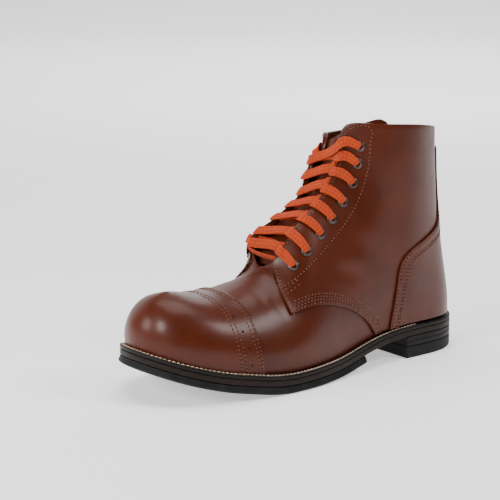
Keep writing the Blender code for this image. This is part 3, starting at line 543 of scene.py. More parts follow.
def facing_flare(side, s, v):
    s, v = np.broadcast_arrays(np.asarray(s, float), np.asarray(v, float))
    if side > 0:
        return np.zeros(s.shape + (3,))
    along = np.interp(s, [k for k, _ in FLARE_KNOTS], [w for _, w in FLARE_KNOTS])
    up = np.clip((v - 0.66) / 0.34, 0.0, 1.0)
    return FLARE * (along * up * up * (3 - 2 * up))[..., None]


def skin_normal(side, s, v):
    n = look_up(LAST_NORMALS, side, s, v)
    return n / np.linalg.norm(n, axis=-1, keepdims=True)


# Creases laid one by one. Columns: side or 0 for both, place along, share up, turn in degrees, then length,
# width and depth in millimetres
CREASES = (
    (0, 5.25, 0.86, 80, 30, 3.2, 0.30),
    (0, 4.95, 0.80, 72, 26, 3.6, 0.22),
    (1, 5.35, 0.66, 60, 22, 3.5, 0.25),
    (1, 8.6, 0.52, 20, 34, 7.0, 0.55),
    (1, 9.6, 0.60, 28, 40, 9.0, 0.60),
    (1, 11.4, 0.42, 12, 46, 9.0, 0.50),
    (-1, 8.4, 0.50, 15, 34, 7.0, 0.55),
    (-1, 10.2, 0.58, 25, 44, 9.0, 0.60),
)
PUCKER_HEIGHT = 0.17
PUCKER_DEPTH = 0.00016


def creases(side, s, v, place):
    """Height of the leather's soft troughs, ridges and lasting puckers."""
    s, v = np.broadcast_arrays(np.asarray(s, float), np.asarray(v, float))
    rise = np.zeros(s.shape)
    for which, at, up, turn, length, width, depth in CREASES:
        if which and which != side:
            continue
        heart = look_up(LAST_GRID, side, at, up)
        out = look_up(LAST_NORMALS, side, at, up)
        level = np.cross(out, (0.0, 0.0, 1.0))
        level = level / max(np.linalg.norm(level), 1e-6)
        steep = np.cross(level, out)
        angle = math.radians(turn)
        run = level * math.cos(angle) + steep * math.sin(angle)
        across = -level * math.sin(angle) + steep * math.cos(angle)
        offset = (place - heart) * 1000
        x = offset @ run
        y = offset @ across + 0.012 * x * x / 10
        near = np.exp(-((offset @ out) ** 2) / 400)
        trough = np.exp(-((x / (length / 2)) ** 2)) * np.exp(-((y / width) ** 2)) * near
        ridge = np.exp(-((x / (length / 2)) ** 2)) * np.exp(-(((y - 1.7 * width) / width) ** 2)) * near
        rise += depth / 2200 * ridge - depth / 1000 * trough
    low = np.clip(1 - v / PUCKER_HEIGHT, 0.0, 1.0) ** 2 * np.clip((6.0 - s) / 2.0, 0.0, 1.0)
    wave = np.sin(s * 23.0 + 1.3 * np.sin(s * 7.1)) * 0.6 + np.sin(s * 41.0 + side) * 0.4
    return rise + PUCKER_DEPTH * low * wave


# Materials


def socket(shader, name, value):
    shader.inputs[name].default_value = value


def new_finish(name, roughness, metallic=0.0):
    """A material with an empty node tree, its shader and a helper that adds nodes."""
    made = bpy.data.materials.new(name)
    made.use_nodes = True
    nodes = made.node_tree.nodes
    links = made.node_tree.links
    shader = nodes["Principled BSDF"]
    socket(shader, "Roughness", roughness)
    socket(shader, "Metallic", metallic)
    socket(shader, "Specular IOR Level", 0.5 if metallic else 0.15)

    def add(kind, links_in=None, **values):
        node = nodes.new(kind)
        for key, value in values.items():
            if hasattr(node, key):
                setattr(node, key, value)
            else:
                node.inputs[key.replace("_", " ")].default_value = value
        for key, source in (links_in or {}).items():
            links.new(source, node.inputs[key])
        return node

    return made, shader, add, links


def blend(add, factor, low, high, start=0.0, end=1.0, middle=None):
    """A colour ramp from low to high over the factor, by way of a middle colour where one is given."""
    ramp = add("ShaderNodeValToRGB", {"Fac": factor})
    stops = ramp.color_ramp.elements
    stops[0].color = (*low, 1.0)
    stops[1].color = (*high, 1.0)
    stops[0].position = start
    stops[1].position = end
    if middle:
        stops.new(0.5).color = (*middle, 1.0)
    return ramp


def shaded(colour, share):
    """The colour made darker or lighter, and never past white."""
    return [min(1.0, c * share) for c in colour]


def paint(links, shader, tone):
    links.new(tone.outputs["Color"], shader.inputs["Base Color"])


def emboss(add, links, shader, height, strength, distance):
    """Bumps the shader's surface by a height."""
    bump = add("ShaderNodeBump", {"Height": height}, Strength=strength, Distance=distance)
    links.new(bump.outputs["Normal"], shader.inputs["Normal"])


GRAIN_HEIGHT = 0.00022
POLISH_SPREAD = (-0.06, 0.10)


def leather_finish(name, colour, dark, light, roughness, coat, grain):
    """Waxed full-grain leather: slow tone changes, fine pores and a soft coat."""
    made, shader, add, links = new_finish(name, roughness)
    place = add("ShaderNodeTexCoord").outputs["Object"]
    clouds = add("ShaderNodeTexNoise", {"Vector": place}, Scale=26.0, Detail=5.0, Roughness=0.55)
    tone = blend(add, clouds.outputs["Fac"], dark, light, 0.30, 0.72, colour)
    specks = add("ShaderNodeTexNoise", {"Vector": place}, Scale=900.0, Detail=3.0, Roughness=0.6)
    mottle = add("ShaderNodeMix", {6: tone.outputs["Color"]}, data_type="RGBA", blend_type="MULTIPLY")
    shade = blend(add, specks.outputs["Fac"], (0.78, 0.76, 0.74), (1.12, 1.10, 1.08))
    links.new(shade.outputs["Color"], mottle.inputs[7])
    mottle.inputs[0].default_value = 0.55
    links.new(mottle.outputs[2], shader.inputs["Base Color"])
    polish = add("ShaderNodeTexNoise", {"Vector": place}, Scale=60.0, Detail=4.0)
    gloss = add("ShaderNodeMapRange", {"Value": polish.outputs["Fac"]})
    gloss.inputs["To Min"].default_value = roughness + POLISH_SPREAD[0]
    gloss.inputs["To Max"].default_value = roughness + POLISH_SPREAD[1]
    links.new(gloss.outputs["Result"], shader.inputs["Roughness"])
    pores = add("ShaderNodeTexVoronoi", {"Vector": place}, Scale=850.0)
    wrinkles = add("ShaderNodeTexNoise", {"Vector": place}, Scale=420.0, Detail=6.0, Roughness=0.65)
    grains = {0: pores.outputs["Distance"], 1: wrinkles.outputs["Fac"]}
    height = add("ShaderNodeMath", grains, operation="ADD")
    emboss(add, links, shader, height.outputs["Value"], grain, GRAIN_HEIGHT)
    socket(shader, "Coat Weight", coat)
    socket(shader, "Coat Roughness", 0.24)
    return made


def edge_finish(name, colour, dark, roughness, stretch):
    """Cut or dressed leather edge: fibres that run along the layers."""
    made, shader, add, links = new_finish(name, roughness)
    place = add("ShaderNodeTexCoord").outputs["Object"]
    turned = add("ShaderNodeMapping", {"Vector": place})
    turned.inputs["Scale"].default_value = (1.0, 1.0, stretch)
    drawn = turned.outputs["Vector"]
    fibres = add("ShaderNodeTexNoise", {"Vector": drawn}, Scale=120.0, Detail=6.0, Roughness=0.7)
    paint(links, shader, blend(add, fibres.outputs["Fac"], dark, colour, 0.35, 0.70))
    emboss(add, links, shader, fibres.outputs["Fac"], 0.5, 0.0004)
    return made


def rubber_finish(name, colour, pale):
    """Dull rubber with a little dust and a fine cast skin."""
    made, shader, add, links = new_finish(name, 0.62)
    place = add("ShaderNodeTexCoord").outputs["Object"]
    dust = add("ShaderNodeTexNoise", {"Vector": place}, Scale=70.0, Detail=8.0, Roughness=0.65)
    paint(links, shader, blend(add, dust.outputs["Fac"], colour, pale, 0.45, 0.85))
    cast = add("ShaderNodeTexNoise", {"Vector": place}, Scale=1600.0, Detail=2.0)
    emboss(add, links, shader, cast.outputs["Fac"], 0.35, 0.0002)
    return made


def metal_finish(name, colour):
    """Dark plated metal, a little worn."""
    made, shader, add, links = new_finish(name, 0.34, 1.0)
    place = add("ShaderNodeTexCoord").outputs["Object"]
    wear = add("ShaderNodeTexNoise", {"Vector": place}, Scale=900.0, Detail=4.0)
    paint(links, shader, blend(add, wear.outputs["Fac"], shaded(colour, 0.7), shaded(colour, 1.8)))
    return made


def thread_finish(name, colour, dark):
    """Waxed thread: tone changes from stitch to stitch and a twisted ply."""
    made, shader, add, links = new_finish(name, 0.55)
    place = add("ShaderNodeTexCoord").outputs["Object"]
    uneven = add("ShaderNodeTexNoise", {"Vector": place}, Scale=300.0, Detail=3.0)
    paint(links, shader, blend(add, uneven.outputs["Fac"], dark, colour, 0.30, 0.60))
    ply = add("ShaderNodeTexNoise", {"Vector": place}, Scale=2600.0, Detail=1.0)
    emboss(add, links, shader, ply.outputs["Fac"], 0.5, 0.0002)
    return made


# The lace's weave: ribs round it, strands for each of its widths, and the slope of its herringbone
LACE_RIBS = 12
LACE_STRANDS = 2.6
WEAVE_SLOPE = 3.0


def lace_finish(name, colour, dark, light):
    """Flat woven lace: a herringbone of fine threads that follows the lace's own UV map; its colour darkens
    in the weave's grooves as painted shade and lightens on its ribs as painted highlight, with a little
    random fuzz.
    """
    made, shader, add, links = new_finish(name, 0.85)
    flat = add("ShaderNodeUVMap", uv_map="lace").outputs["UV"]
    parts = add("ShaderNodeSeparateXYZ", {"Vector": flat})
    fold = add("ShaderNodeMath", {0: parts.outputs["Y"]}, operation="PINGPONG")
    fold.inputs[1].default_value = 1 / (2 * LACE_RIBS)
    slope = add("ShaderNodeMath", {0: fold.outputs["Value"], 2: parts.outputs["X"]}, operation="MULTIPLY_ADD")
    slope.inputs[1].default_value = WEAVE_SLOPE
    strands = add("ShaderNodeMath", {0: slope.outputs["Value"]}, operation="MULTIPLY")
    strands.inputs[1].default_value = 2 * math.pi * LACE_STRANDS
    wave = add("ShaderNodeMath", {0: strands.outputs["Value"]}, operation="SINE")
    ribs = add("ShaderNodeMath", {0: parts.outputs["Y"]}, operation="MULTIPLY")
    ribs.inputs[1].default_value = 2 * math.pi * LACE_RIBS
    ridge = add("ShaderNodeMath", {0: ribs.outputs["Value"]}, operation="COSINE")
    weave = add("ShaderNodeMath", {0: wave.outputs["Value"], 1: ridge.outputs["Value"]}, operation="ADD")
    height = add("ShaderNodeMapRange", {"Value": weave.outputs["Value"]})
    height.inputs["From Min"].default_value = -2.0
    height.inputs["From Max"].default_value = 2.0
    place = add("ShaderNodeTexCoord").outputs["Object"]
    fuzz = add("ShaderNodeTexNoise", {"Vector": place}, Scale=700.0, Detail=5.0)
    fuzzy = {0: height.outputs["Result"], 1: fuzz.outputs["Fac"]}
    uneven = add("ShaderNodeMath", fuzzy, operation="MULTIPLY_ADD")
    uneven.inputs[2].default_value = 0.28
    # Colour from the weave's height and random fuzz: painted shade in the grooves, painted highlight on the
    # ribs
    paint(links, shader, blend(add, uneven.outputs["Value"], dark, light, middle=colour))
    emboss(add, links, shader, height.outputs["Result"], 0.45, 0.0004)
    socket(shader, "Sheen Weight", 0.05)
    socket(shader, "Sheen Roughness", 0.5)
    return made


def finish(name):
    """The named material, made the first time it is asked for."""
    made = bpy.data.materials.get(name)
    if made:
        return made
    colours = bpy.context.scene.service_boot_colours
    leather = tuple(colours.leather)
    lace = tuple(colours.lace)
    thread = tuple(colours.thread)
    welt_thread = tuple(colours.welt_thread)
    makers = {
        "brown_leather": lambda: leather_finish(
            name, leather, shaded(leather, 0.80), shaded(leather, 1.20), 0.38, 0.20, 0.30
        ),
        "lining_leather": lambda: leather_finish(
            name, (0.34, 0.205, 0.115), (0.22, 0.12, 0.06), (0.46, 0.30, 0.18), 0.72, 0.0, 0.45
        ),
        "footbed_leather": lambda: leather_finish(
            name, (0.42, 0.26, 0.14), (0.26, 0.15, 0.075), (0.50, 0.33, 0.20), 0.66, 0.05, 0.4
        ),
        "cut_edge": lambda: edge_finish(name, (0.36, 0.20, 0.12), (0.14, 0.06, 0.035), 0.72, 1.0),
        "dark_edge": lambda: edge_finish(name, (0.075, 0.026, 0.017), (0.030, 0.011, 0.008), 0.55, 1.0),
        "welt_edge": lambda: edge_finish(name, (0.015, 0.010, 0.0088), (0.0070, 0.0055, 0.0050), 0.5, 6.0),
        "midsole_edge": lambda: edge_finish(name, (0.024, 0.010, 0.0080), (0.0070, 0.0055, 0.0050), 0.5, 8.0),
        "heel_stack": lambda: edge_finish(name, (0.013, 0.0095, 0.0088), (0.0065, 0.0055, 0.0052), 0.5, 9.0),
        "black_rubber": lambda: rubber_finish(name, (0.0085, 0.0085, 0.0088), (0.021, 0.0205, 0.0205)),
        "gunmetal": lambda: metal_finish(name, (0.075, 0.064, 0.060)),
        # Painted shade for the insides of needle holes, perforations and eyelet holes
        "painted_hole_shade": lambda: hole_shade_finish(name),
        "seam_thread": lambda: thread_finish(name, thread, shaded(thread, 0.45)),
        "welt_thread": lambda: thread_finish(name, welt_thread, shaded(welt_thread, 0.6)),
        "woven_lace": lambda: lace_finish(name, lace, shaded(lace, 0.42), shaded(lace, 1.5)),
    }
    return makers[name]()


def hole_shade_finish(name):
    """Painted shade: the near-black inside of a needle hole, a perforation or an eyelet's hole."""
    made, shader, add, links = new_finish(name, 0.9)
    place = add("ShaderNodeTexCoord").outputs["Object"]
    depth = add("ShaderNodeTexNoise", {"Vector": place}, Scale=500.0)
    # Painted shade: near-black with a little random variation
    paint(links, shader, blend(add, depth.outputs["Fac"], (0.008, 0.003, 0.002), (0.022, 0.009, 0.006)))
    return made


# Mesh helpers


def keep(mesh, name, finishes, replaced=(), smooth=35):
    """Links a finished mesh as a piece of the boot."""
    made = bpy.data.objects.new(name, mesh)
    bpy.context.scene.collection.objects.link(made)
    for finish_name in finishes:
        mesh.materials.append(finish(finish_name))
    mesh.shade_smooth()
    if smooth:
        mesh.set_sharp_from_angle(angle=math.radians(smooth))
    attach(made, "root")
    if replaced:
        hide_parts(*replaced)
    return made


def applied(thing, name):
    """The mesh of an object with its modifiers applied; the object itself is removed."""
    view = bpy.context.evaluated_depsgraph_get()
    mesh = bpy.data.meshes.new_from_object(thing.evaluated_get(view))
    mesh.name = name
    old = thing.data
    bpy.data.objects.remove(thing)
    if isinstance(old, bpy.types.Mesh):
        bpy.data.meshes.remove(old)
    mesh.materials.clear()
    return mesh


def close_mesh(work, name):
    """Ends a bmesh as a mesh whose faces point outwards."""
    bmesh.ops.recalc_face_normals(work, faces=work.faces)
    mesh = bpy.data.meshes.new(name)
    work.to_mesh(mesh)
    work.free()
    return mesh


def ring_walls(work, rings):
    """Faces between closed rings of equal counts."""
    count = len(rings[0])
    for low, high in zip(rings[:-1], rings[1:]):
        for i in range(count):
            k = (i + 1) % count
            work.faces.new([low[i], low[k], high[k], high[i]])


def weave_grids(grids):
    """One bmesh from grids of points, each with a turn-over flag, welded where they meet."""
    work = bmesh.new()
    for points, flip in grids:
        made = [[work.verts.new(p) for p in column] for column in points]
        for here, following in zip(made[:-1], made[1:]):
            for j in range(len(here) - 1):
                corners = [here[j], following[j], following[j + 1], here[j + 1]]
                work.faces.new(corners[::-1] if flip else corners)
    bmesh.ops.remove_doubles(work, verts=work.verts, dist=2e-5)
    bmesh.ops.dissolve_degenerate(work, dist=1e-6, edges=work.edges)
    return work


def leather_shell(name, grids, thickness, finishes, replaced=(), rounding=0.00035):
    """A leather piece of real thickness, with finishes for its outer face, inner face and rounded edge."""
    work = weave_grids(grids)
    mesh = bpy.data.meshes.new(name)
    work.to_mesh(mesh)
    work.free()
    for face in mesh.polygons:
        face.use_smooth = True
    rough = bpy.data.objects.new(name + "_rough", mesh)
    bpy.context.scene.collection.objects.link(rough)
    for _ in finishes:
        mesh.materials.append(None)
    wall = rough.modifiers.new("Wall", "SOLIDIFY")
    wall.thickness = abs(thickness)
    wall.offset = 1.0 if thickness > 0 else -1.0
    wall.use_even_offset = False
    # The face that the grid draws is the outer one for an inward wall, and the inner one for an outward wall
    wall.material_offset = 1 if thickness < 0 else 0
    wall.material_offset_rim = 2
    bevel = rough.modifiers.new("Edge", "BEVEL")
    bevel.width = rounding
    bevel.segments = 2
    bevel.limit_method = "ANGLE"
    bevel.angle_limit = math.radians(50)
    bevel.material = -1
    done = applied(rough, name)
    return keep(done, name, finishes, replaced, smooth=0)


def side_grid(side, s_lines, v_lines, lift):
    return [skin(side, s, v, lift) for s, v in zip(s_lines, v_lines)], side < 0


# How many sections one whole rise counts as when places are spaced along a line of (s, v) pairs
PLACE_SCALE = (1.0, 8.0)


def resample(points, count):
    """Places spaced evenly along a line of (s, v) pairs."""
    points = np.asarray(points, float)
    along = run_length(points, PLACE_SCALE)
    wanted = np.linspace(0.0, along[-1], count)
    return np.stack([np.interp(wanted, along, points[:, k]) for k in (0, 1)], -1)


def curved(points, count):
    """A smooth line through (s, v) pairs, spaced evenly."""
    points = np.asarray(points, float)
    along = run_length(points, PLACE_SCALE)
    return spline(along, points)(np.linspace(0.0, along[-1], count))


# Upper, overlays, tongue and insole


def upper_places():
    fore = np.linspace(0.0, THROAT, 97)
    opening = THROAT + THROAT_ROUNDING * np.linspace(0.0, 1.0, 15)[1:] ** 1.6
    rest = np.linspace(opening[-1], HEEL_BACK, 140)[1:]
    return np.concatenate([fore, opening, rest])


LINED_FINISHES = ("brown_leather", "lining_leather", "cut_edge")
OVERLAY_FINISHES = ("brown_leather", "lining_leather", "dark_edge")


def make_vamp():
    v_line = np.concatenate([np.linspace(0.0, 0.2, 13), np.linspace(0.2, 1.0, 53)[1:]])
    places = upper_places()
    grids = [side_grid(side, places, [v_line] * len(places), 0.0) for side in (1, -1)]
    leather_shell(
        "vamp_and_lining", grids, -LINED_WALL, LINED_FINISHES,
        ("upper",),
    )


def cap_edge(v_line):
    return spline([v for _, v in CAP_EDGE_LINE], [s for s, _ in CAP_EDGE_LINE])(v_line)


def make_toe_cap():
    v_line = np.concatenate([np.linspace(0.012, 0.2, 13), np.linspace(0.2, 1.0, 53)[1:]])
    shares = np.linspace(0.0, 1.0, 75)
    grids = [side_grid(side, [cap_edge(v_line) * k for k in shares], [v_line] * len(shares), CAP_REST)
             for side in (1, -1)]
    leather_shell(
        "cap_leather", grids, OVERLAY_WALL, OVERLAY_FINISHES,
        ("toe_cap",),
    )


def quarter_top():
    start = THROAT + THROAT_ROUNDING
    facing = [QUARTER_FRONT_LINE[0], (THROAT + 0.25, 0.965), (start, 1.0), (COLLAR_FRONT, 1.0)]
    collar = [(COLLAR_FRONT, 1.0), (HEEL_BACK, 1.0)]
    return facing, collar


def make_quarter(side):
    facing, collar = quarter_top()
    lower = curved([QUARTER_FRONT_LINE[-1], *QUARTER_LOWER_LINE], 60)
    feather = [QUARTER_LOWER_LINE[-1], (HEEL_BACK, QUARTER_FEATHER)]
    top = np.vstack([resample(facing, 80), resample(collar, 90)[1:]])
    bottom = np.vstack([curved(QUARTER_FRONT_LINE, 24), lower[1:], resample(feather, 87)[1:]])
    across = np.linspace(0.0, 1.0, 46)
    s_lines = [b[0] + (t[0] - b[0]) * across for b, t in zip(bottom[1:], top[1:])]
    v_lines = [b[1] + (t[1] - b[1]) * across for b, t in zip(bottom[1:], top[1:])]
    if side < 0:
        s_lines[-1] = s_lines[-1] * 0 + HEEL_BACK - 0.01
    name = "lateral" if side > 0 else "medial"
    leather_shell(
        f"{name}_quarter_leather", [side_grid(side, s_lines, v_lines, QUARTER_REST)], OVERLAY_WALL,
        LINED_FINISHES, (f"quarter_{name}",),
    )


def counter_line(count):
    return curved(COUNTER_FRONT_LINE, count)


def make_counter():
    line = counter_line(90)
    shares = np.linspace(0.0, 1.0, 60)
    columns = []
    for side in (1, -1):
        for k in shares if side > 0 else shares[::-1][1:]:
            columns.append(skin(side, line[:, 0] + (HEEL_BACK - line[:, 0]) * k, line[:, 1], COUNTER_REST))
    leather_shell(
        "counter_and_back_strip", [(columns, False)], OVERLAY_WALL, OVERLAY_FINISHES,
        ("counter",),
    )


# The tongue's top edge slopes up from the inner side: share across it, share of its rise above the collar
TONGUE_EDGE = spline(
    (0.0, 0.25, 0.40, 0.50, 0.62, 0.76, 0.92, 1.0),
    ([-1.60], [-1.55], [-1.10], [-0.35], [0.30], [0.75], [1.00], [0.70]),
)


def make_tongue():
    columns = []
    places = np.linspace(THROAT + 0.12, COLLAR_FRONT - 0.40, 26)
    for s in places:
        share = (s - THROAT) / (COLLAR_FRONT - THROAT)
        sunk = LINED_WALL + TONGUE_CLEARANCE + TONGUE_THICKNESS + max(0.0, 0.16 - share) / 0.16 * TONGUE_TUCK
        sides = []
        for side, widest, count in ((1, TONGUE_OUTER_REACH, 9), (-1, TONGUE_INNER_REACH, 6)):
            reach = TONGUE_REACH_LOW + (widest - TONGUE_REACH_LOW) * share
            sides.append(lifted(side, *across_facing(side, s, reach, count), -sunk))
        middle = (sides[0][0] + sides[1][0]) / 2
        ahead = surface(1, s + 0.1, 1.0) - surface(1, s - 0.1, 1.0)
        out = np.array([0.0, -ahead[2], ahead[1]]) / math.hypot(ahead[1], ahead[2])
        middle = middle + out * TONGUE_CROWN * min(1.0, share / 0.3)
        columns.append([*sides[1][::-1], middle, *sides[0]])
    columns = np.array(columns)
    wide = columns.shape[1]
    way = surface(1, COLLAR_FRONT, 1.0) - surface(1, places[-1], 1.0)
    way[0] = 0.0
    turn = np.linspace(0.0, 1.0, wide)[:, None]
    way = way / np.linalg.norm(way) * (1 - 0.7 * turn) + np.array([0.0, 0.0, 0.7]) * turn
    tops = COLLAR_FRONT_HEIGHT + TONGUE_RISE * TONGUE_EDGE(turn[:, 0])
    rise = (tops - columns[-1][:, 2:]) / way[:, 2:]
    tip = [columns[-1] + way * rise * lift for lift in np.linspace(0.0, 1.0, 9)[1:]]
    rows = np.array([*columns, *tip])
    around = spline(np.linspace(0, 1, wide), rows.transpose(1, 0, 2))(np.linspace(0, 1, 61))
    along = spline(np.linspace(0, 1, len(rows)), around.transpose(1, 0, 2))(np.linspace(0, 1, 120))
    leather_shell(
        "tongue_leather", [(along, True)], TONGUE_THICKNESS, LINED_FINISHES, ("tongue",),
        rounding=0.0005,
    )


# Sole


def outline_loop(inset, height, count=260):
    """Closed loop of points round the sole, inset from the welt's outline."""
    shares = np.linspace(0.0, 1.0, count)
    lateral = outline_point(1, shares, inset)
    medial = outline_point(-1, shares, inset)[-2:0:-1]
    loop = np.concatenate([lateral, medial])
    return np.column_stack([loop, height(loop[:, 1])])


def loops_to_mesh(name, loops, close_ends=False):
    """Walls between closed loops of equal counts, their ends filled where asked and else welded to a ring."""
    work = bmesh.new()
    rings = [[work.verts.new(p) for p in loop] for loop in loops]
    ring_walls(work, rings)
    if close_ends:
        half = (len(rings[0]) + 2) // 2
        for ring, flip in ((rings[0], True), (rings[-1], False)):
            lateral = ring[:half]
            medial = [ring[0], *ring[:half - 2:-1]]
            for i in range(half - 1):
                corners = [lateral[i], lateral[i + 1], medial[i + 1], medial[i]]
                unique = list(dict.fromkeys(corners))
                if len(unique) > 2:
                    work.faces.new(unique[::-1] if flip else unique)
    else:
        bmesh.ops.remove_doubles(work, verts=work.verts, dist=1e-6)
    return close_mesh(work, name)


def below_welt(depth):
    return lambda y: welt_top(y) - depth


def flat_at(z):
    return lambda y: np.zeros_like(np.asarray(y, float)) + z


def make_welt():
    """A ring with a rounded, slightly dished top ledge."""
    profile = (
        (WELT_WIDTH, 0.0), (WELT_LEDGE + 0.002, 0.0), (WELT_LEDGE, 0.0), (WELT_LEDGE - 0.0010, 0.00028),
        (0.0036, 0.00010), (0.0022, 0.00030), (0.0012, 0.00006), (0.0006, 0.0001), (0.0002, 0.0004),
        (0.0, 0.0009), (0.0, 0.0022), (0.00015, 0.0028), (0.0005, WELT_THICKNESS),
        (WELT_WIDTH, WELT_THICKNESS),
    )
    loops = [outline_loop(inset, below_welt(depth)) for inset, depth in profile]
    mesh = loops_to_mesh("welt_strip", [*loops, loops[0]])
    keep(mesh, "welt_strip", ("welt_edge",), ("welt",))


def make_midsole():
    top = WELT_THICKNESS + GAP
    bottom = top + MIDSOLE_THICKNESS
    profile = ((0.0006, top), (0.0001, top + 0.0004), (0.0, top + 0.0012), (0.0, bottom - 0.0012),
               (0.0001, bottom - 0.0004), (0.0006, bottom))
    loops = [outline_loop(inset, below_welt(depth)) for inset, depth in profile]
    mesh = loops_to_mesh("midsole_layer", loops, close_ends=True)
    keep(mesh, "midsole_layer", ("midsole_edge",), ("midsole",))


def tread_level(lift):
    """Height above the half sole's tread, which lies flat on the floor behind the toe spring."""
    return lambda y: np.maximum(welt_top(y) - SOLE_STACK, 0.0) + lift


def cut_loop(inset, height, y_range, count=150):
    """Loop round one stretch of the outline, cut straight across at the ends of y_range."""
    ladder = np.linspace(0.0, 1.0, 1200)
    runs = []
    for side in (1, -1):
        y = outline_point(side, ladder)[:, 1]
        inside = ladder[(y >= y_range[0] - 1e-9) & (y <= y_range[1] + 1e-9)]
        shares = np.linspace(inside[0], inside[-1], count)
        xy = outline_point(side, shares, inset)
        xy[:, 1] = np.clip(xy[:, 1], y_range[0] + inset, y_range[1] - inset)
        runs.append(np.column_stack([xy, height(xy[:, 1])]))
    return runs


def stretch_mesh(name, levels, y_range):
    """A solid over one stretch of the outline from (inset, height) levels, top first."""
    work = bmesh.new()
    loops = [cut_loop(inset, height, y_range) for inset, height in levels]
    rows = []
    for lateral, medial in loops:
        rows.append([[work.verts.new(p) for p in run] for run in (lateral, medial)])
    for upper, lower in zip(rows[:-1], rows[1:]):
        for k in (0, 1):
            for i in range(len(upper[k]) - 1):
                work.faces.new([upper[k][i], upper[k][i + 1], lower[k][i + 1], lower[k][i]])
        for end in (0, -1):
            work.faces.new([upper[0][end], upper[1][end], lower[1][end], lower[0][end]])
    for row in (rows[0], rows[-1]):
        for i in range(len(row[0]) - 1):
            work.faces.new([row[0][i], row[0][i + 1], row[1][i + 1], row[1][i]])
    bmesh.ops.remove_doubles(work, verts=work.verts, dist=1e-6)
    bmesh.ops.dissolve_degenerate(work, dist=1e-7, edges=work.edges)
    return close_mesh(work, name)


def make_half_sole():
    top = WELT_THICKNESS + MIDSOLE_THICKNESS + 2 * GAP
    levels = (
        (0.0008, below_welt(top)), (0.0002, below_welt(top + 0.0003)), (0.0, below_welt(top + 0.0009)),
        (-SOLE_FLARE * 0.6, tread_level(0.0030)), (-SOLE_FLARE, tread_level(0.0019)),
        (-SOLE_FLARE * 0.85, tread_level(0.0012)), (-SOLE_FLARE * 0.3, tread_level(0.0005)),
        (0.0006, tread_level(0.0001)), (0.0014, tread_level(0.0)),
    )
    mesh = stretch_mesh("rubber_half_sole", levels, (place_y(1.2), HALF_SOLE_END_Y))
    keep(mesh, "rubber_half_sole", ("black_rubber",), ("half_sole",))


def make_heel():
    below = WELT_THICKNESS + MIDSOLE_THICKNESS + 2 * GAP
    floor = RUBBER_HEEL_THICKNESS + GAP
    heel = (HEEL_BREAST_Y, place_y(-0.1))

    def lift(share):
        return lambda y: floor + (welt_top(y) - below - floor) * share

    levels = (
        (0.0006, lift(1.0)), (0.0001, lift(0.95)), (0.0, lift(0.85)), (0.0, lift(0.56)),
        (0.00035, lift(0.52)), (0.00035, lift(0.48)), (0.0, lift(0.44)), (0.0, lift(0.12)),
        (0.0001, lift(0.05)), (0.0006, lift(0.0)),
    )
    mesh = stretch_mesh("heel_lifts", levels, heel)
    keep(mesh, "heel_lifts", ("heel_stack",), ("heel_base",))
    top = RUBBER_HEEL_THICKNESS
    levels = (
        (0.0006, flat_at(top)), (0.0001, flat_at(top - 0.0004)), (0.0, flat_at(top - 0.001)),
        (0.0, flat_at(0.0012)), (0.0002, flat_at(0.0006)), (0.0007, flat_at(0.0001)), (0.0011, flat_at(0.0)),
    )
    mesh = stretch_mesh("rubber_heel", levels, heel)
    keep(mesh, "rubber_heel", ("black_rubber",), ("heel_top_piece",))


def make_insole():
    inner = WELT_LEDGE + LINED_WALL + 3 * GAP
    profile = (
        (inner + 0.0010, -GAP), (inner, -GAP - 0.0006), (inner, -GAP - INSOLE_THICKNESS + 0.0006),
        (inner + 0.0006, -GAP - INSOLE_THICKNESS + 0.0001), (inner + 0.0016, -GAP - INSOLE_THICKNESS),
    )
    loops = [outline_loop(inset, below_welt(depth), 140) for inset, depth in profile]
    mesh = loops_to_mesh("footbed", loops, close_ends=True)
    keep(mesh, "footbed", ("footbed_leather",), ("insole",))


# Stitching and holes, by Geometry Nodes


